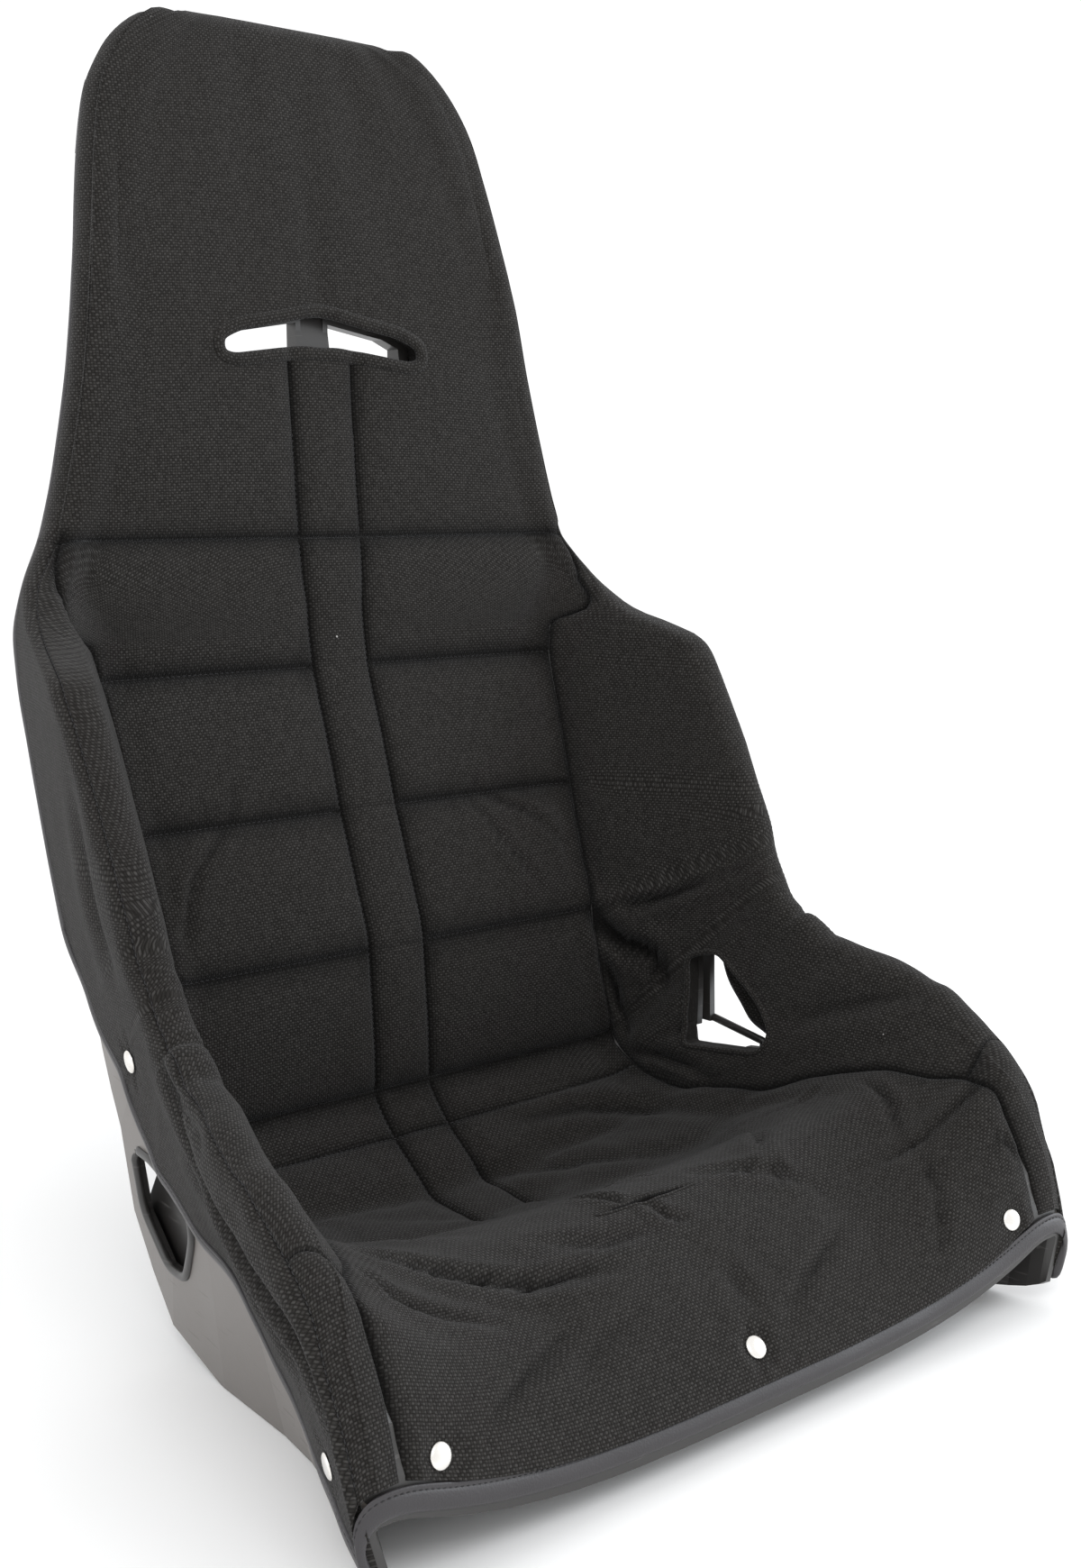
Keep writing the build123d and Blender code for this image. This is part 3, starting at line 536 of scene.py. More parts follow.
def carried_over(values, from_rows, from_columns, to_rows, to_columns):
    """Grid values read at the rows and columns of a finer grid."""
    t = np.interp(to_rows, from_rows, range(len(from_rows)))
    by_row = monotone(values.reshape(len(from_rows), -1), t).reshape(len(to_rows), len(from_columns), -1)
    t = np.interp(to_columns, from_columns, range(len(from_columns)))
    turned = by_row.transpose(1, 0, 2)
    by_column = monotone(turned.reshape(len(from_columns), -1), t)
    return by_column.reshape(len(to_columns), len(to_rows), -1).transpose(1, 0, 2)


# ---- Meshes ---------------------------------------------------------------------------------
def linked(name, data):
    """A new object of the scene that holds the data."""
    found = bpy.data.objects.new(name, data)
    bpy.context.scene.collection.objects.link(found)
    return found


def grid_faces(m, n, start=0):
    """The quads of a grid of points whose first index is start."""
    index = start + np.arange(m * n).reshape(m, n)
    return np.stack([index[:-1, :-1], index[:-1, 1:], index[1:, 1:], index[1:, :-1]], -1).reshape(-1, 4)


def add_piece(name, points, faces, material, uv):
    """A smooth-shaded mesh object that rides on the seat."""
    mesh = bpy.data.meshes.new(name)
    mesh.from_pydata(np.asarray(points).tolist(), [], faces if isinstance(faces, list) else faces.tolist())
    if uv is not None:
        layer = mesh.uv_layers.new(name="Cloth")
        corner = np.empty(len(mesh.loops), int)
        mesh.loops.foreach_get("vertex_index", corner)
        layer.data.foreach_set("uv", np.asarray(uv)[corner].astype(np.float32).ravel())
    mesh.polygons.foreach_set("use_smooth", np.ones(len(mesh.polygons), bool))
    mesh.validate()
    mesh.update()
    mesh.materials.append(material)
    piece = linked(name, mesh)
    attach(piece, BODY)
    return piece


def ring(m, n):
    """Indices of a grid's outer edge, once round it."""
    index = np.arange(m * n).reshape(m, n)
    return np.concatenate([index[0, :-1], index[:-1, -1], index[-1, :0:-1], index[:0:-1, 0]])


def closed_slab(outer, inner):
    """Points and faces of the closed body between two grids of the same size."""
    m, n = outer.shape[:2]
    points = np.concatenate([outer.reshape(-1, 3), inner.reshape(-1, 3)])
    front = grid_faces(m, n)
    back = grid_faces(m, n, m * n)[:, ::-1]
    edge = ring(m, n)
    after = np.roll(edge, -1)
    wall = np.stack([edge, edge + m * n, after + m * n, after], axis=-1)
    return points, np.concatenate([front, back, wall])


def drawn_in(block, gap):
    """The grid with its outermost points moved towards the next ones, to leave a gap at a seam."""
    block = block.copy()
    for edge, beside in (((0,), (1,)), ((-1,), (-2,)), ((slice(None), 0), (slice(None), 1)),
                         ((slice(None), -1), (slice(None), -2))):
        step = block[beside] - block[edge]
        length = np.linalg.norm(step, axis=-1, keepdims=True)
        block[edge] = block[edge] + step * np.minimum(0.45, gap / np.maximum(length, 1e-9))
    return block


def cutter(points, direction, reach):
    """Closed prism of an outline, for cutting openings."""
    low = np.asarray(points) - np.asarray(direction) * reach
    high = np.asarray(points) + np.asarray(direction) * reach
    n = len(points)
    faces = [list(range(n))[::-1], list(range(n, 2 * n))]
    faces += [[k, (k + 1) % n, n + (k + 1) % n, n + k] for k in range(n)]
    mesh = bpy.data.meshes.new("cutter")
    mesh.from_pydata(np.concatenate([low, high]).tolist(), [], faces)
    mesh.update()
    return linked("cutter", mesh)


def crisp(piece):
    """Keeps the piece's cut edges sharp while its faces are shaded smooth."""
    piece.data.set_sharp_from_angle(angle=math.radians(60))


def cut(piece, tool):
    """Takes the tool's shape out of the piece."""
    boolean = piece.modifiers.new("cut", "BOOLEAN")
    boolean.operation = "DIFFERENCE"
    boolean.solver = "MANIFOLD"
    boolean.object = tool
    with bpy.context.temp_override(object=piece, active_object=piece, selected_objects=[piece]):
        bpy.ops.object.modifier_apply(modifier=boolean.name)
    bpy.data.objects.remove(tool)
    crisp(piece)


def rounded(corners, radius, steps=5):
    """Closed 2-D outline of a polygon with its corners rounded."""
    points = []
    corners = np.asarray(corners, float)
    for k, corner in enumerate(corners):
        a = corners[k - 1] - corner
        b = corners[(k + 1) % len(corners)] - corner
        reach = min(radius, 0.42 * np.linalg.norm(a), 0.42 * np.linalg.norm(b))
        start = corner + a / np.linalg.norm(a) * reach
        end = corner + b / np.linalg.norm(b) * reach
        for t in np.linspace(0, 1, steps):
            points.append((1 - t) ** 2 * start + 2 * t * (1 - t) * corner + t * t * end)
    return np.array(points)


# ---- Materials --------------------------------------------------------------------------------
class Nodes:
    """A material's node tree, with short calls for the nodes used here."""

    def __init__(self, name, **shader):
        self.material = bpy.data.materials.new(name)
        self.material.use_nodes = True
        self.tree = self.material.node_tree
        self.shader = self.tree.nodes["Principled BSDF"]
        for key, value in shader.items():
            self.shader.inputs[key.replace("_", " ")].default_value = value
        self.place = self.add("ShaderNodeTexCoord").outputs["Object"]

    def add(self, kind, inputs=(), **settings):
        node = self.tree.nodes.new(kind)
        for key, value in settings.items():
            setattr(node, key, value)
        for key, value in dict(inputs).items():
            if isinstance(value, bpy.types.NodeSocket):
                self.tree.links.new(value, node.inputs[key])
            else:
                node.inputs[key].default_value = value
        return node

    def math(self, operation, a, b=0.0, c=0.0):
        return self.add("ShaderNodeMath", {0: a, 1: b, 2: c}, operation=operation).outputs[0]

    def noise(self, vector, scale, detail=2.0, roughness=0.5):
        return self.add("ShaderNodeTexNoise", {"Vector": vector, "Scale": scale, "Detail": detail,
                                               "Roughness": roughness}).outputs["Fac"]

    def ramp(self, factor, stops):
        node = self.add("ShaderNodeValToRGB", {"Fac": factor})
        ramp = node.color_ramp
        while len(ramp.elements) < len(stops):
            ramp.elements.new(0.5)
        for element, (place, colour) in zip(ramp.elements, stops):
            element.position = place
            element.color = (*colour, 1)
        return node.outputs["Color"]

    def blend(self, factor, a, b):
        node = self.add("ShaderNodeMix", data_type="RGBA")
        for socket, value in ((0, factor), (6, a), (7, b)):
            if isinstance(value, bpy.types.NodeSocket):
                self.tree.links.new(value, node.inputs[socket])
            else:
                node.inputs[socket].default_value = value if socket == 0 else (*value, 1)
        return node.outputs[2]

    def bump(self, height, strength, distance):
        return self.add("ShaderNodeBump", {"Height": height, "Strength": strength,
                                           "Distance": distance}).outputs["Normal"]

    def connect(self, **links):
        for key, socket in links.items():
            self.tree.links.new(socket, self.shader.inputs[key.replace("_", " ")])
        return self.material


WEAVE_PITCH = 0.0018        # from one yarn of the cloth to the next


def tweed():
    """Coarse charcoal basket weave: over-and-under yarns, uneven yarn colour, fuzz and lint, with painted
    shade that darkens the cloth in its grooves and folds.
    """
    m = Nodes("tweed", Roughness=0.92, Sheen_Weight=0.10, Sheen_Roughness=0.45, Specular_IOR_Level=0.10)
    m.shader.inputs["Sheen Tint"].default_value = (0.88, 0.88, 0.90, 1)
    cloth = m.add("ShaderNodeUVMap", uv_map="Cloth").outputs["UV"]
    wobble = m.add("ShaderNodeTexNoise", {"Vector": m.place, "Scale": 260.0, "Detail": 1.0}).outputs["Color"]
    shift = m.add("ShaderNodeVectorMath", {0: wobble, 1: (0.5, 0.5, 0.5)}, operation="SUBTRACT").outputs[0]
    shift = m.add("ShaderNodeVectorMath", {0: shift, "Scale": 0.0011}, operation="SCALE").outputs[0]
    yarn = m.add("ShaderNodeVectorMath", {0: cloth, 1: shift}, operation="ADD").outputs[0]
    yarn = m.add("ShaderNodeVectorMath", {0: yarn, "Scale": 1 / WEAVE_PITCH}, operation="SCALE").outputs[0]
    axes = m.add("ShaderNodeSeparateXYZ", {0: yarn})
    s = m.math("MULTIPLY", axes.outputs[0], math.pi)
    t = m.math("MULTIPLY", axes.outputs[1], math.pi)
    sin_s, sin_t = m.math("SINE", s), m.math("SINE", t)
    a, b = m.math("ABSOLUTE", sin_s), m.math("ABSOLUTE", sin_t)
    over = m.math("GREATER_THAN", m.math("MULTIPLY", sin_s, sin_t), 0.0)
    warp = m.math("MULTIPLY", m.math("POWER", a, 0.45), b)
    weft = m.math("MULTIPLY", a, m.math("POWER", b, 0.45))
    under = m.math("SUBTRACT", 1.0, over)
    height = m.math("ADD", m.math("MULTIPLY", over, warp),
                    m.math("MULTIPLY", m.math("MULTIPLY", under, weft), 0.5))
    cell = m.add("ShaderNodeVectorMath", {0: yarn}, operation="FLOOR").outputs[0]
    random = m.add("ShaderNodeTexWhiteNoise", {"Vector": cell}, noise_dimensions="2D").outputs["Value"]
    fuzz = m.noise(m.place, 1500.0, 3.0, 0.7)
    patch = m.noise(m.place, 9.0, 3.0, 0.55)
    tone = m.math("MULTIPLY_ADD", random, 0.22, m.math("MULTIPLY", height, 0.68))
    tone = m.math("ADD", tone, m.math("MULTIPLY", fuzz, 0.25))
    colour = m.ramp(tone, [(0.05, (0.0016, 0.0015, 0.0014)), (0.45, (0.0170, 0.0160, 0.0148)),
                           (0.95, (0.0600, 0.0580, 0.0555))])
    colour = m.blend(m.math("MULTIPLY", patch, 0.40), colour, (0.0165, 0.0138, 0.0118))
    # Painted shade: the cloth is darkened towards black where it lies deep in a groove or fold.
    painted_groove_shade = m.add("ShaderNodeAttribute", attribute_name="painted_groove_shade").outputs["Fac"]
    colour = m.blend(m.math("MULTIPLY", painted_groove_shade, 0.80), colour, (0.0018, 0.0017, 0.0016))
    speck = m.add("ShaderNodeTexVoronoi", {"Vector": m.place, "Scale": 30.0}, feature="F1")
    rare = m.add("ShaderNodeSeparateColor", {0: speck.outputs["Color"]}).outputs[0]
    lint = m.math("MULTIPLY", m.math("LESS_THAN", speck.outputs["Distance"], 0.020),
                  m.math("GREATER_THAN", rare, 0.80))
    colour = m.blend(lint, colour, (0.42, 0.41, 0.40))
    relief = m.math("MULTIPLY_ADD", fuzz, 0.35, height)
    normal = m.bump(relief, 0.75, 0.0007)
    return m.connect(Base_Color=colour, Normal=normal)


def vinyl():
    """Black grained vinyl of the bindings, a little greyer in random patches."""
    m = Nodes("vinyl", Roughness=0.42, Specular_IOR_Level=0.5)
    cells = m.add("ShaderNodeTexVoronoi", {"Vector": m.place, "Scale": 900.0, "Randomness": 1.0})
    grain = m.math("MULTIPLY_ADD", m.noise(m.place, 1800.0, 2.0), 0.3, cells.outputs["Distance"])
    patch = m.noise(m.place, 35.0, 3.0, 0.6)
    colour = m.blend(patch, (0.021, 0.019, 0.021), (0.034, 0.031, 0.034))
    rough = m.math("MULTIPLY_ADD", patch, 0.2, 0.33)
    return m.connect(Base_Color=colour, Roughness=rough, Normal=m.bump(grain, 0.35, 0.00025))


def thread():
    """Bonded black sewing thread with its twist."""
    m = Nodes("thread", Roughness=0.6, Specular_IOR_Level=0.3)
    twist = m.noise(m.place, 2500.0, 1.0)
    colour = m.blend(twist, (0.010, 0.010, 0.011), (0.028, 0.027, 0.028))
    return m.connect(Base_Color=colour, Normal=m.bump(twist, 0.5, 0.0002))


WEB_FACE = 0.2098           # x of the outer face of the web under each belt opening, which is kept out of the painted reflection
WEB_REACH = 0.0004          # how near to that x counts as the web


def moulded_plastic(name, painted_reflection_share):
    """Satin black polyethylene with faint orange peel, flow marks and light scuffs.  Where the second
    argument is 1 the low outer walls are painted pale: a painted reflection of the bright floor and lamps."""
    m = Nodes(name, Roughness=0.36, Specular_IOR_Level=0.62)
    peel = m.noise(m.place, 420.0, 3.0, 0.6)
    flow = m.noise(m.place, 14.0, 4.0, 0.6)
    streaks = m.add("ShaderNodeMapping", {"Vector": m.place, "Scale": (30.0, 30.0, 420.0)}).outputs[0]
    scuffs = m.noise(streaks, 1.0, 4.0)
    wear = m.math("MULTIPLY", m.math("GREATER_THAN", scuffs, 0.66), 0.22)
    axes = m.add("ShaderNodeSeparateXYZ", {0: m.place})
    facing = m.add("ShaderNodeSeparateXYZ", {0: m.add("ShaderNodeTexCoord").outputs["Normal"]})
    # Painted reflection: low walls that face outward are painted pale, as if lit by the bright floor and
    # lamps; the web stays black.
    outward = m.math("MULTIPLY", axes.outputs[0], facing.outputs[0])
    outside = m.math("GREATER_THAN", outward, 0.06)
    web = m.math("MULTIPLY", m.math("COMPARE", outward, WEB_FACE, WEB_REACH),
                 m.math("COMPARE", m.math("ABSOLUTE", axes.outputs[0]), WEB_FACE, WEB_REACH))
    outside = m.math("SUBTRACT", outside, web)
    low = m.add("ShaderNodeMapRange", {0: axes.outputs[2], 1: 0.30, 2: 0.20}).outputs[0]
    colour = m.blend(flow, (0.016, 0.015, 0.014), (0.024, 0.022, 0.021))
    pale = m.blend(flow, (0.100, 0.088, 0.080), (0.128, 0.114, 0.104))
    colour = m.blend(m.math("MULTIPLY", m.math("MULTIPLY", outside, low), painted_reflection_share), colour, pale)
    colour = m.blend(wear, colour, (0.16, 0.15, 0.145))
    rough = m.math("ADD", m.math("MULTIPLY_ADD", flow, 0.16, 0.27), m.math("MULTIPLY", wear, 0.5))
    normal = m.bump(peel, 0.12, 0.0003)
    return m.connect(Base_Color=colour, Roughness=rough, Normal=normal)


def nickel():
    """Bright nickel plate with fine polishing marks and slight tarnish."""
    m = Nodes("nickel", Metallic=1.0, Roughness=0.22)
    tarnish = m.noise(m.place, 160.0, 4.0, 0.6)
    marks = m.noise(m.place, 4000.0, 1.0)
    colour = m.blend(tarnish, (0.90, 0.89, 0.87), (0.74, 0.71, 0.66))
    rough = m.math("MULTIPLY_ADD", tarnish, 0.22, 0.14)
    return m.connect(Base_Color=colour, Roughness=rough, Normal=m.bump(marks, 0.08, 0.0001))


def plated_steel():
    """Duller zinc plate of the snaps' hidden halves."""
    m = Nodes("plated_steel", Metallic=1.0, Roughness=0.4)
    spots = m.noise(m.place, 300.0, 4.0, 0.6)
    colour = m.blend(spots, (0.56, 0.55, 0.52), (0.42, 0.40, 0.37))
    rough = m.math("MULTIPLY_ADD", spots, 0.3, 0.3)
    return m.connect(Base_Color=colour, Roughness=rough, Normal=m.bump(spots, 0.15, 0.0002))


def studio_white():
    """Matt pale floor."""
    m = Nodes("studio_white", Roughness=0.9, Specular_IOR_Level=0.1)
    colour = m.blend(m.noise(m.place, 3.0), (0.955, 0.955, 0.955), (0.965, 0.965, 0.965))
    return m.connect(Base_Color=colour)


TWEED, VINYL, THREAD, NICKEL, STEEL = tweed(), vinyl(), thread(), nickel(), plated_steel()
# The shell's plastic carries the painted reflection on its low outer walls; the window lips' copy has none.
PLASTIC, LIP_PLASTIC = moulded_plastic("moulded_plastic", 1.0), moulded_plastic("lip_plastic", 0.0)

# ---- Snap fasteners' places, as (u, v) of the CAD surface --------------------------------------
SNAP_SITES = [(0, 2.0), (0.72, 1.15), (-0.72, 1.15), (2.62, 3.9), (-2.62, 3.9), (2.44, 13.75), (-2.44, 13.75)]


def surface_frame(u, v):
    """Point, outward normal and direction across, on the CAD surface."""
    step = 0.02
    point = surface(np.array([[u]]), v)[0, 0]
    across = (surface(np.array([[u + step]]), v) - surface(np.array([[u - step]]), v))[0, 0]
    along = (surface(np.array([[u]]), v + step) - surface(np.array([[u]]), v - step))[0, 0]
    inside = surface(np.array([[u]]), v, 0.005)[0, 0] - point
    normal = unit(np.cross(across, along))
    if normal @ inside > 0:
        normal = -normal
    return point, normal, unit(across)


SNAP_FRAMES = [surface_frame(u, v) for u, v in SNAP_SITES]


def snap_relief(points, height):
    """Lets the cloth down under each cap, with a few gathers that run out from it."""
    for point, normal, across in SNAP_FRAMES:
        gap = points - point
        distance = np.linalg.norm(gap, axis=2)
        beside = np.cross(normal, across)
        angle = np.arctan2(gap @ beside, gap @ across)
        share = 1 - smooth_step(distance, 0.0060, 0.0150)
        spokes = 0.0005 * np.sin(7 * angle) * np.exp(-((distance - 0.013) / 0.006) ** 2)
        height = height * (1 - share) - 0.0009 * share + spokes
    return height


# ---- The cover --------------------------------------------------------------------------------
TOP_ROUND = 0.012           # rounding of the head's top edge
TOP_CORNER_DROP = 0.0045    # how far the cover is drawn down over the head's top corners
DEEPEST = 0.0056            # no groove or fold goes deeper than this
GROOVE_SHADE_START, GROOVE_SHADE_RANGE = 0.0010, 0.0042     # depths under the padding over which painted shade darkens the cloth in grooves and folds


def top_rounding(rows):
    """How far each row is drawn in under the surface, to round the cover over the head's top."""
    left = centre_length(float(LAST))[0] - centre_length(rows)[0]
    left = np.clip(left, 0, TOP_ROUND)
    return TOP_ROUND - np.sqrt(TOP_ROUND ** 2 - (TOP_ROUND - left) ** 2)


def even_rims(points, rows, columns):
    """Takes small kinks out of the rims beside the hips, where the stations lie close together."""
    size = np.abs(columns)[None, :]
    share = span_share(rows[:, None], 13.6, 20.2, 0.8) * smooth_step(size, 2.05, 2.5)
    share = (share * (1 - smooth_step(size, 3.35, 3.7)))[1:-1, :, None] * 0.5
    for _ in range(120):
        beside = (points[:-2] + points[2:]) / 2
        points[1:-1] += share * (beside - points[1:-1])
    return points


def build_cover():
    """Outer and inner points of the whole cover, with cloth coordinates."""
    rows, row_index, columns, column_index = make_grid(FINE, COARSE)
    points = even_rims(surface(column_u(columns, rows), rows), rows, columns)
    height, level = seam_relief(rows, row_index, columns, column_index, points)
    height += fold_relief(points, FOLDS)
    # Share of painted shade: how deep each point lies under its padding in a groove or fold.
    painted_groove_shade = np.clip((level - GROOVE_SHADE_START - height) / GROOVE_SHADE_RANGE, 0, 1)
    across, along = across_and_along(points)
    height += 0.0006 * waves(across, along, 0.055, 3) + 0.00025 * waves(across, along, 0.018, 4)
    height = snap_relief(points, height)
    normal = normals(points)
    shift = np.zeros_like(points)
    coarse = make_grid(SIM_FINE, SIM_COARSE)
    few_rows, _, few_columns, _ = coarse
    moved = simulate(*coarse, surface(column_u(few_columns, few_rows), few_rows))
    shift = carried_over(moved, few_rows, few_columns, rows, columns)
    for point, _, _ in SNAP_FRAMES:
        away = smooth_step(np.linalg.norm(points - point, axis=2), 0.008, 0.022)
        shift *= away[..., None]
    from_top = (along[-1:] - along) / TOP_ROUND
    height = np.maximum(height, -DEEPEST) * smooth_step(from_top, 0, 1)
    sink = top_rounding(rows)[:, None, None] * normal * (0, 1, 0)
    ends = smooth_step(np.abs(columns), 1.1, 2.2) * (1 - smooth_step(from_top, 0, 1.5))
    sink[..., 2] += TOP_CORNER_DROP * ends
    outer = points + normal * height[..., None] + shift - sink
    inner = points - normal * PAD_DEPTH - sink
    return rows, row_index, columns, column_index, outer, inner, np.stack([across, along], -1), painted_groove_shade


rows, row_index, columns, column_index, OUTER, INNER, CLOTH_UV, PAINTED_GROOVE_SHADE = build_cover()
ROW_AT = dict(zip(ROW_KNOTS, row_index))
SEAM_HALF_GAP = 0.00025     # each panel's edge is drawn in this far


def cloth_uv(first_row, first_column, last_column):
    """Cloth coordinates of the grid, laid out for one panel so that its weave is not sheared: the
    bolster panels flat in side view, the corner strips from their inner seam, the others from
    their first row."""
    ends = sorted((abs(first_column), abs(last_column)))
    if ends not in ([2, 3], [3, 4]):
        return CLOTH_UV - CLOTH_UV[ROW_AT[first_row]] * (0, 1)
    side = 1 if first_column > 0 else -1
    base = column_index[side * (2 if ends == [2, 3] else 4)]
    if first_row == V_HEM and ends == [2, 3]:
        return CLOTH_UV - np.stack(np.broadcast_arrays(CLOTH_UV[:, [base], 0], CLOTH_UV[:1, :, 1]), -1)
    tilt = stations(rows)[:, TILT]
    rise = np.stack([-np.sin(tilt), np.cos(tilt)], -1)
    run = np.abs(CLOTH_UV[..., 0] - CLOTH_UV[:, [base], 0])
    return OUTER[:, [base], 1:] + rise[:, None] * run[..., None]


def cover_piece(name, first_row, last_row, first_column, last_column, replaced):
    """One padded panel: the block of the cover's grid between these seams."""
    block = (slice(ROW_AT[first_row], ROW_AT[last_row] + 1),
             slice(column_index[first_column], column_index[last_column] + 1))
    outer, inner = drawn_in(OUTER[block], SEAM_HALF_GAP), drawn_in(INNER[block], SEAM_HALF_GAP)
    points, faces = closed_slab(outer, inner)
    uv = np.concatenate([cloth_uv(first_row, first_column, last_column)[block].reshape(-1, 2)] * 2)
    piece = add_piece(name, points, faces, TWEED, uv)
    # Per-point share of painted shade for the cloth's grooves and folds.
    layer = piece.data.attributes.new("painted_groove_shade", "FLOAT", "POINT")
    layer.data.foreach_set("value", np.tile(PAINTED_GROOVE_SHADE[block].ravel(), 2).astype(np.float32))
    crisp(piece)
    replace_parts(piece, *replaced)
    return piece


head_panel = cover_piece("head_panel", V_ROW1, LAST, -4, 4, ("cover_head_panel", "foam_head"))
cover_piece("back_panel", V_CREASE, V_ROW1, -2, 2, ("cover_back_panel", "foam_back"))
seat_panel = cover_piece("seat_panel", V_HEM, V_CREASE, -2, 2, ("cover_seat_panel", "foam_seat"))
bolsters = {}
for side, sign in (("right", 1), ("left", -1)):
    low, high = sorted((2 * sign, 3 * sign))
    bolsters[side] = cover_piece(f"bolster_inner_{side}", V_CORNER, V_ROW1, low, high,
                                 (f"cover_bolster_inner_{side}", f"foam_bolster_inner_{side}"))
    cover_piece(f"corner_strip_{side}", V_HEM, V_CORNER, low, high, (f"cover_corner_strip_{side}",))
    low, high = sorted((3 * sign, 4 * sign))
    cover_piece(f"bolster_outer_{side}", V_HEM, V_ROW1, low, high,
                (f"cover_bolster_outer_{side}", f"foam_bolster_outer_{side}"))


# ---- Openings in the cover ---------------------------------------------------------------------
def loop_band(name, path, normal, half_width, half_height, material):
    """Rolled edge round an opening: an oval section carried round a closed path."""
    path, normal = np.asarray(path), np.asarray(normal)
    count, sides = len(path), 12
    outward = np.cross(unit(np.roll(path, -1, axis=0) - np.roll(path, 1, axis=0)), normal)
    angles = np.linspace(0, math.tau, sides, endpoint=False)
    points = (path[:, None] + half_width * np.cos(angles)[None, :, None] * outward[:, None]
              + half_height * np.sin(angles)[None, :, None] * normal[:, None])
    index = np.arange(count * sides).reshape(count, sides)
    after, beside = np.roll(index, -1, axis=0), np.roll(index, -1, axis=1)
    faces = np.stack([index, after, np.roll(after, -1, axis=1), beside], -1).reshape(-1, 4)
    girth = angles * (half_width + half_height) / 2
    uv = np.stack([np.repeat(length_along(path), sides), np.tile(girth, count)], -1)
    return add_piece(name, points.reshape(-1, 3), faces, material, uv)


def resampled(path, step, closed=True):
    """The path with its points an even step apart."""
    path = np.asarray(path)
    if closed:
        path = np.concatenate([path, path[:1]])
    length = length_along(path)
    count = max(8, int(length[-1] / step))
    places = np.linspace(0, length[-1], count, endpoint=not closed)
    return np.stack([np.interp(places, length, path[:, k]) for k in range(path.shape[1])], -1)


def smoothed(values, times, closed=True):
    """Each row evened out with its neighbours, that many times."""
    for _ in range(times):
        if closed:
            values = (np.roll(values, 1, 0) + 2 * values + np.roll(values, -1, 0)) / 4
        else:
            values[1:-1] = (values[:-2] + 2 * values[1:-1] + values[2:]) / 4
    return values


def cast(piece, starts, direction):
    """Where lines from the starts first meet the piece, and the piece's normals there."""
    hits, found = [], []
    for start in starts:
        ok, place, normal, _ = piece.ray_cast(Vector(start), Vector(direction))
        hits.append(place if ok else (math.nan,) * 3)
        found.append(normal if ok else (math.nan,) * 3)
    hits, found = np.array(hits, float), np.array(found, float)
    good = ~np.isnan(hits[:, 0])
    for k in range(3):
        for values in (hits, found):
            values[:, k] = np.interp(np.arange(len(values)), np.nonzero(good)[0], values[good, k])
    return hits, found


CAST_FROM = 0.6             # how far off the lines start that look for the cover
CUT_REACH = 0.05            # how far an opening's cutter reaches to both sides


def make_opening(name, piece, outline_points, direction, half_width, half_height, set_back):
    """Cuts an opening through a panel and sews a rolled edge round it."""
    direction = np.asarray(direction, float)
    path = resampled(outline_points, 0.0022)
    away = unit(path - path.mean(0))
    hits, found = cast(piece, path + away * set_back - direction * CAST_FROM, direction)
    hits, found = smoothed(hits, 3), unit(smoothed(found, 8))
    cut(piece, cutter(path, direction, CUT_REACH))
    return loop_band(name, hits - found * half_height * 0.35, found, half_width, half_height, TWEED)


# Outlines of the openings: the harness opening's right half in mm about its middle, and the belt
# opening as y and z of the station list.
HARNESS_Z = 0.621
HARNESS_HALF = [(62, 5), (79, -3), (79, -16), (68, -19)]
HARNESS_OPENING = [(0, 15)] + HARNESS_HALF + [(0, -9)] + [(-x, z) for x, z in reversed(HARNESS_HALF)]
HIP_OPENING = [(268, 173), (244, 180), (200, 150), (187, 135), (193, 121), (258, 113)]
SLIT_HALF = (0.040, 0.0030)
SLIT_V = 7.0
LOOK_IN_FROM = 0.30         # beyond the side walls

head_face = surface(np.array([[0.0]]), 29.4)[0, 0]
chevron = rounded(np.array(HARNESS_OPENING) * MM, 0.009)
chevron = np.stack([chevron[:, 0], np.full(len(chevron), head_face[1]), HARNESS_Z + chevron[:, 1]], -1)
make_opening("harness_opening_hem", head_panel, chevron, (0, 1, 0), 0.0048, 0.0034, 0.0030)

hip = rounded((np.array(HIP_OPENING) - (BOLTS_Y, 0)) * UNIT, 0.006)
for side, sign in (("right", 1), ("left", -1)):
    wall = np.stack([np.full(len(hip), sign * 0.200), hip[:, 0], hip[:, 1]], -1)[::sign]
    make_opening(f"hip_opening_hem_{side}", bolsters[side], wall, (sign, 0, 0), 0.0022, 0.0026, 0.0012)

slit_x = np.linspace(-1, 1, 25)
slit_centre = surface(np.array([[0.0]]), SLIT_V)[0, 0]
lens = [np.stack([slit_x, side * (1 - slit_x ** 2)], -1) for side in (1, -1)]
lens = np.concatenate([lens[0], lens[1][-2:0:-1]])
lens = np.stack([lens[:, 0] * SLIT_HALF[0], slit_centre[1] + lens[:, 1] * SLIT_HALF[1],
                 np.full(len(lens), slit_centre[2])], -1)
make_opening("strap_slit_hem", seat_panel, lens, (0, 0, -1), 0.0012, 0.0016, 0.0008)

# Rounded lip of the shell round the window under each belt opening.
BELT_WINDOW = [(288, 124), (214, 124), (214, 98), (240, 62), (264, 60), (290, 84)]
window = resampled(rounded((np.array(BELT_WINDOW) - (BOLTS_Y, 0)) * UNIT, 0.008), 0.0025)
window = window + unit(window - window.mean(0)) * 0.0022
for side, sign in (("right", 1), ("left", -1)):
    starts = np.stack([np.full(len(window), sign * LOOK_IN_FROM), window[:, 0], window[:, 1]], -1)[::sign]
    hits, found = cast(frame["nodes"]["shell"], starts, (-sign, 0, 0))
    hits, found = smoothed(hits, 2), unit(smoothed(found, 6))
    loop_band(f"belt_window_lip_{side}", hits, found, 0.0030, 0.0026, LIP_PLASTIC)


# ---- Edge bindings ------------------------------------------------------------------------------
V_BINDING_TOP = 32.2
BINDING_STEP = 0.004
STITCH_INSET = 0.0096       # stitch line, from the folded edge
STITCH_OVER = 0.0005        # and over the fabric
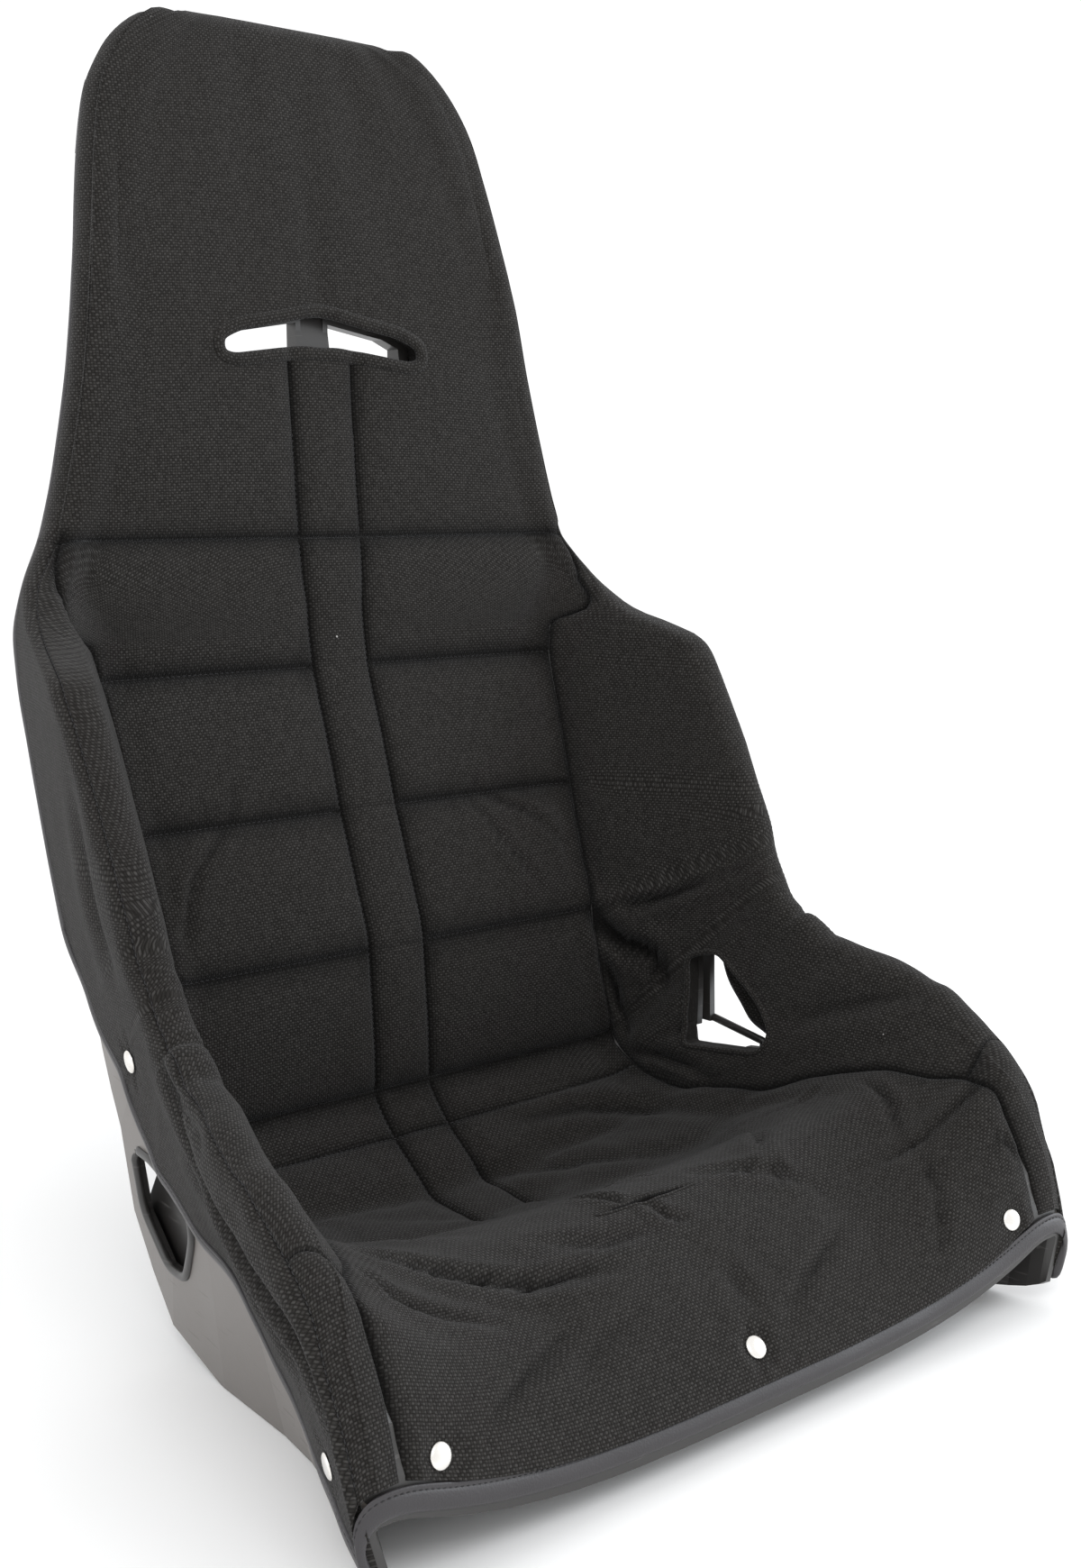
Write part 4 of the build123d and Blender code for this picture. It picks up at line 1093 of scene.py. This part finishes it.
# The folded vinyl in section: distance in from the edge and height over the fabric, in mm.
BINDING_SECTION = [(12.5, -0.3), (12.4, 0.5), (11.9, 0.9), (11.0, 0.95), (10.2, 0.8), (9.6, 0.35), (9.0, 0.8),
                   (7.5, 1.1), (5.0, 1.2), (2.6, 1.0), (1.0, 0.4), (0.0, -0.7), (-0.4, -1.7), (0.0, -2.8),
                   (1.1, -3.6), (5.0, -3.8), (11.5, -3.7), (12.1, -3.2), (12.3, -1.8)]
REAR_BINDING_SHARE = 0.62   # the binding is narrower up the sides and beside the head


def hem_line():
    """The hem's path from the right of the head, round the front, to the left of the head."""
    v = np.concatenate([np.linspace(V_BINDING_TOP, 2, 330), np.linspace(2, 0, 24)[1:]])
    u = hem_u(v, 0.0)
    du, dv = 0.06, 0.25
    edge = surface(u[:, None], v)[:, 0]
    beside = surface(u[:, None] - du, v)[:, 0]
    deep = surface(u[:, None], v, 0.004)[:, 0]
    ahead = surface(u[:, None], np.minimum(v + dv, LAST))[:, 0]
    inward, over = beside - edge, np.cross(beside - edge, ahead - edge)
    over *= np.where(((deep - edge) * over).sum(1) > 0, -1, 1)[:, None]
    front_u = np.linspace(u[-1], 0, 80)[None, 1:]
    front = surface(front_u, 0.0)[0]
    front_in = surface(front_u, 0.5)[0] - front
    front_over = front - surface(front_u, 0.0, 0.004)[0]
    half = [np.concatenate(pair) for pair in ((edge, front), (inward, front_in), (over, front_over))]
    mirror = np.array([-1, 1, 1])
    path, inward, over = [np.concatenate([h, (h * mirror)[-2::-1]]) for h in half]
    inward, over, length = unit(inward), unit(over), length_along(path)
    places = np.linspace(0, length[-1], int(length[-1] / BINDING_STEP) // 2 * 2 + 1)
    path, inward, over = [np.stack([np.interp(places, length, a[:, k]) for k in range(3)], -1)
                          for a in (path, inward, over)]
    path, over = smoothed(path, 3, closed=False), smoothed(over, 8, closed=False)
    inward = unit(smoothed(inward, 8, closed=False))
    return path, inward, unit(over - inward * (over * inward).sum(1, keepdims=True))


HEM_PATH, HEM_IN, HEM_OVER = hem_line()
HEM_LENGTH = length_along(HEM_PATH)
MIDDLE = len(HEM_PATH) // 2
FROM_FRONT = np.abs(HEM_LENGTH - HEM_LENGTH[MIDDLE])


def nearest_on_hem(v):
    """Index of the place on the right half of the hem path beside a station."""
    point = surface(hem_u(v, 0.0)[:, None], v)[0, 0]
    return int(np.linalg.norm(HEM_PATH[:MIDDLE + 1] - point, axis=1).argmin())


NARROWER = [FROM_FRONT[nearest_on_hem(v)] for v in V_NARROWER]
HEM_SHARE = 1 - (1 - REAR_BINDING_SHARE) * smooth_step(FROM_FRONT, *NARROWER)


def binding(name, first, last, replaced):
    """One run of the binding, from one place on the hem path to another."""
    part = slice(first, last + 1)
    share = HEM_SHARE[part, None, None]
    section = np.array(BINDING_SECTION) * MM
    points = (HEM_PATH[part, None] + HEM_IN[part, None] * section[None, :, :1] * share
              + HEM_OVER[part, None] * section[None, :, 1:])
    ripple = waves(*np.broadcast_arrays(HEM_LENGTH[part, None], section[None, :, 0]), 0.03, 60)
    points = points + HEM_OVER[part, None] * 0.00025 * ripple[..., None]
    count, sides = points.shape[:2]
    index = np.arange(count * sides).reshape(count, sides)
    beside = np.roll(index, -1, axis=1)
    faces = np.stack([index[:-1], beside[:-1], beside[1:], index[1:]], -1).reshape(-1, 4).tolist()
    faces += [index[0].tolist()[::-1], index[-1].tolist()]
    piece = add_piece(name, points.reshape(-1, 3), faces, VINYL, None)
    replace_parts(piece, *replaced)


def stitches(name, runs, pitch, length, radius):
    """Sewing thread along each run's path: one short bowed stitch after another."""
    points, faces, total = [], [], 0
    for path, over in runs:
        found, quads, ends = stitched(path, over, pitch, length, radius)
        points.append(found)
        faces += (quads + total).tolist() + (ends + total).tolist()
        total += len(found)
    add_piece(name, np.concatenate(points), faces, THREAD, None)


def stitched(path, over, pitch, length, radius):
    """Points, side faces and end faces of one run of stitches."""
    distance = length_along(path)
    starts = np.arange(pitch / 2, distance[-1] - pitch, pitch)
    along = np.array([0.0, 0.08, 0.3, 0.5, 0.7, 0.92, 1.0])
    girth = np.array([0.35, 0.8, 1.0, 1.0, 1.0, 0.8, 0.35])
    bow = np.array([-1.1, -0.4, 0.2, 0.35, 0.2, -0.4, -1.1])
    places = starts[:, None] + along[None] * length

    def at(values, where):
        return np.stack([np.interp(where, distance, values[:, k]) for k in range(3)], -1)

    middle = at(path, places)
    up = at(over, places)
    forward = at(path, places + 1e-4) - at(path, places - 1e-4)
    forward /= np.maximum(np.linalg.norm(forward, axis=-1, keepdims=True), 1e-12)
    beside = np.cross(forward, up)
    middle = middle + up * (bow * radius)[None, :, None]
    sides = 6
    angles = np.linspace(0, math.tau, sides, endpoint=False)
    size = (girth * radius)[None, :, None, None]
    points = (middle[:, :, None] + size * np.cos(angles)[None, None, :, None] * beside[:, :, None]
              + size * np.sin(angles)[None, None, :, None] * up[:, :, None])
    count, rings = points.shape[:2]
    index = np.arange(count * rings * sides).reshape(count, rings, sides)
    after = np.roll(index, -1, axis=2)
    faces = np.stack([index[:, :-1], after[:, :-1], after[:, 1:], index[:, 1:]], -1).reshape(-1, 4)
    return points.reshape(-1, 3), faces, np.concatenate([index[:, 0, ::-1], index[:, -1]])


ROW_ONE_HEM, REAR_HEM, FRONT_HEM = [nearest_on_hem(v) for v in (V_ROW1, 18.0, V_HEM)]
RUN_ENDS = [0, ROW_ONE_HEM, REAR_HEM, FRONT_HEM]
for run, first, last in zip(("head", "rear", "skirt"), RUN_ENDS, RUN_ENDS[1:]):
    binding(f"{run}_binding_right", first, last, (f"binding_{run}_right",))
    binding(f"{run}_binding_left", 2 * MIDDLE - last, 2 * MIDDLE - first, (f"binding_{run}_left",))
binding("front_binding", FRONT_HEM, 2 * MIDDLE - FRONT_HEM, ("binding_front",))
STITCH_PATH = HEM_PATH + HEM_IN * STITCH_INSET * HEM_SHARE[:, None] + HEM_OVER * STITCH_OVER
stitches("binding_stitches", [(STITCH_PATH, HEM_OVER)], 0.0036, 0.0025, 0.00038)

COVER_NORMAL = normals(OUTER)
THREAD_OVER = 0.0002        # quilting thread, over the fabric


def row_run(v, inner, outer):
    """Path and normals along a row of the cover, between two columns."""
    part = (ROW_AT[v], slice(column_index[inner] + 2, column_index[outer] - 1))
    return OUTER[part] + COVER_NORMAL[part] * THREAD_OVER, COVER_NORMAL[part]


def column_run(c, first, last, beside=0):
    """The same along a column, between two stations; beside counts columns away from it."""
    part = (slice(*np.searchsorted(rows, (first, last))), column_index[c] + beside)
    return OUTER[part] + COVER_NORMAL[part] * THREAD_OVER, COVER_NORMAL[part]


quilting = [row_run(v, *span) for v in (V_ROW2, V_ROW3, V_ROW4) for span in ((-2, -1), (1, 2))]
quilting += [row_run(V_CROSS, -2, 2)]
quilting += [column_run(c, *span) for c in (-1, 1) for span in ((10.3, 13.9), (14.1, 26.9), (27.1, 28.6))]
quilting += [column_run(side * 3, 0.8, 26.8, -side) for side in (-1, 1)]
stitches("quilting_stitches", quilting, 0.0040, 0.0029, 0.00040)

# ---- Hood over the top of the head -----------------------------------------------------------
V_HOOD = 31.0               # the hood's edge, on the back of the head
HOOD_THICK = 0.0024
OFF_BACK = 0.0004           # how far the hood stands off the shell's back


def build_hood():
    """A pocket of the same cloth: over the head's top, then down its back."""
    start = OUTER[-1]
    back = stations(np.linspace(LAST, V_HOOD, 30))
    top = back[0]
    width = start[:, 0] / np.abs(start[:, 0]).max()
    crown = np.linspace(0, 1, 14)[:, None, None]
    far_y = top[Y] - top[EDGE_S] + OFF_BACK
    far = np.stack([width * top[EDGE_X], np.full(len(width), far_y), start[:, 2]], -1)
    lid = start + (far - start) * crown
    lid[..., 2] += 0.0012 * np.sin(np.pi * crown[..., 0]) * (1 - width ** 2)
    down = np.stack([width[None] * back[1:, EDGE_X:EDGE_X + 1],
                     (back[1:, Y] - back[1:, EDGE_S] + OFF_BACK)[:, None] + 0 * width[None],
                     back[1:, Z:Z + 1] + 0 * width[None]], -1)
    rows_of = np.concatenate([lid, down])
    for _ in range(10):
        rows_of[1:-1] = (rows_of[:-2] + 2 * rows_of[1:-1] + rows_of[2:]) / 4
    return rows_of


def refined(grid, times):
    """The grid with its rows closer together."""
    t = np.linspace(0, len(grid) - 1, times * len(grid))
    return monotone(grid.reshape(len(grid), -1), t).reshape(len(t), *grid.shape[1:])


hood_grid = refined(build_hood(), 3)
hood_normal = normals(hood_grid)
hood_across, hood_along = across_and_along(hood_grid)
hood_height = 0.0007 * waves(hood_across, hood_along, 0.03, 71)
hood_height += 0.0003 * waves(hood_across, hood_along, 0.012, 72)
hood_edge = hood_along[-1] - hood_along
hood_height -= 0.0012 * np.exp(-((hood_edge - 0.010) / 0.0016) ** 2)
hood_height *= smooth_step(hood_along, 0.0, 0.004)
hood_outer = hood_grid + hood_normal * hood_height[..., None]
hood_inner = hood_grid - hood_normal * HOOD_THICK
points, faces = closed_slab(hood_outer, hood_inner)
hood_uv = np.concatenate([np.stack([hood_across, hood_along], -1).reshape(-1, 2)] * 2)
hood = add_piece("hood_pocket", points, faces, TWEED, hood_uv)
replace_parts(hood, "hood_top", "hood_back")

# ---- Snap fasteners ----------------------------------------------------------------------------
# Section of a cap: radius and height over the cloth, in mm, from the middle of the dome to the post.
CAP_SECTION = [(0, 2.05), (1.6, 2.0), (3.2, 1.86), (4.7, 1.58), (5.7, 1.25), (6.3, 0.85), (6.65, 0.40),
               (6.75, 0.05), (6.6, -0.25), (6.2, -0.35), (5.5, -0.15), (2.2, -0.1), (1.9, -0.5),
               (1.9, -2.6), (0, -2.7)]


def snap_caps():
    """Seven turned caps, each with its post, as one piece."""
    section = refined(np.array(CAP_SECTION)[:, None] * MM, 2)[:, 0]
    sides = 40
    angles = np.linspace(0, math.tau, sides, endpoint=False)
    points, faces = [], []
    for point, normal, across in SNAP_FRAMES:
        beside = np.cross(normal, across)
        start = len(points)
        spin = np.cos(angles)[:, None] * across + np.sin(angles)[:, None] * beside
        points.append(point + normal * section[0, 1])
        for radius, lift in section[1:-1]:
            points += list(point + spin * radius + normal * lift)
        points.append(point + normal * section[-1, 1])
        rings = len(section) - 2
        for k in range(sides):
            nxt = (k + 1) % sides
            faces.append((start, start + 1 + k, start + 1 + nxt))
            for r in range(rings - 1):
                a, b = start + 1 + r * sides, start + 1 + (r + 1) * sides
                faces.append((a + k, b + k, b + nxt, a + nxt))
            a = start + 1 + (rings - 1) * sides
            faces.append((a + nxt, a + k, start + 1 + rings * sides))
    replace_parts(add_piece("snap_fastener_caps", points, faces, NICKEL, None), "snap_caps")


snap_caps()

# ---- CAD nodes that show --------------------------------------------------------------------
for node, material in (("shell", PLASTIC), ("snap_sockets", STEEL), ("snap_studs", STEEL)):
    for slot_of in frame["nodes"][node].material_slots:
        slot_of.material = material

# ---- Studio -----------------------------------------------------------------------------------
FLOOR_HALF = 30.0
FLOOR_UNDER = 0.0005        # the floor lies this far under the base
corners = [(x * FLOOR_HALF, y * FLOOR_HALF, 0) for x, y in ((-1, -1), (1, -1), (1, 1), (-1, 1))]
mesh = bpy.data.meshes.new("floor")
mesh.from_pydata(corners, [], [(0, 1, 2, 3)])
mesh.materials.append(studio_white())
floor = linked("floor", mesh)
floor.location.z = -FLOOR_UNDER

world = bpy.data.worlds.new("studio")
bpy.context.scene.world = world
world.use_nodes = True
world.node_tree.nodes["Background"].inputs["Color"].default_value = (1.0, 1.0, 1.0, 1)
world.node_tree.nodes["Background"].inputs["Strength"].default_value = 1.12


def softbox(name, place, target, size, power, colour=(1, 1, 1)):
    """A square lamp that faces its target."""
    light = bpy.data.lights.new(name, "AREA")
    light.shape = "RECTANGLE"
    light.size, light.size_y = size
    light.energy = power
    light.color = colour
    lamp = linked(name, light)
    lamp.location = place
    lamp.rotation_euler = (Vector(target) - Vector(place)).to_track_quat("-Z", "Y").to_euler()


LOOK_AT = (0.0, 0.05, 0.40)
softbox("key_light", (-0.9, -1.6, 2.2), LOOK_AT, (1.4, 1.0), 16)
softbox("side_light", (2.0, -1.2, 0.8), LOOK_AT, (1.0, 1.4), 22, (0.88, 0.94, 1.0))
softbox("left_light", (-2.2, 0.4, 1.1), LOOK_AT, (1.2, 1.6), 8, (0.92, 0.96, 1.0))

CAMERA_PLACE = Vector((-0.6733, -0.7917, 0.5143))
CAMERA_VIEW = Vector((0.6217, 0.7676, -0.1565))
camera_data = bpy.data.cameras.new("camera")
camera_data.lens = 40.88
camera_data.shift_x = -0.003
camera_data.shift_y = -0.006
camera = linked("camera", camera_data)
camera.location = CAMERA_PLACE
camera.rotation_euler = CAMERA_VIEW.to_track_quat("-Z", "Y").to_euler()
bpy.context.scene.camera = camera
bpy.context.scene.view_settings.view_transform = "Standard"
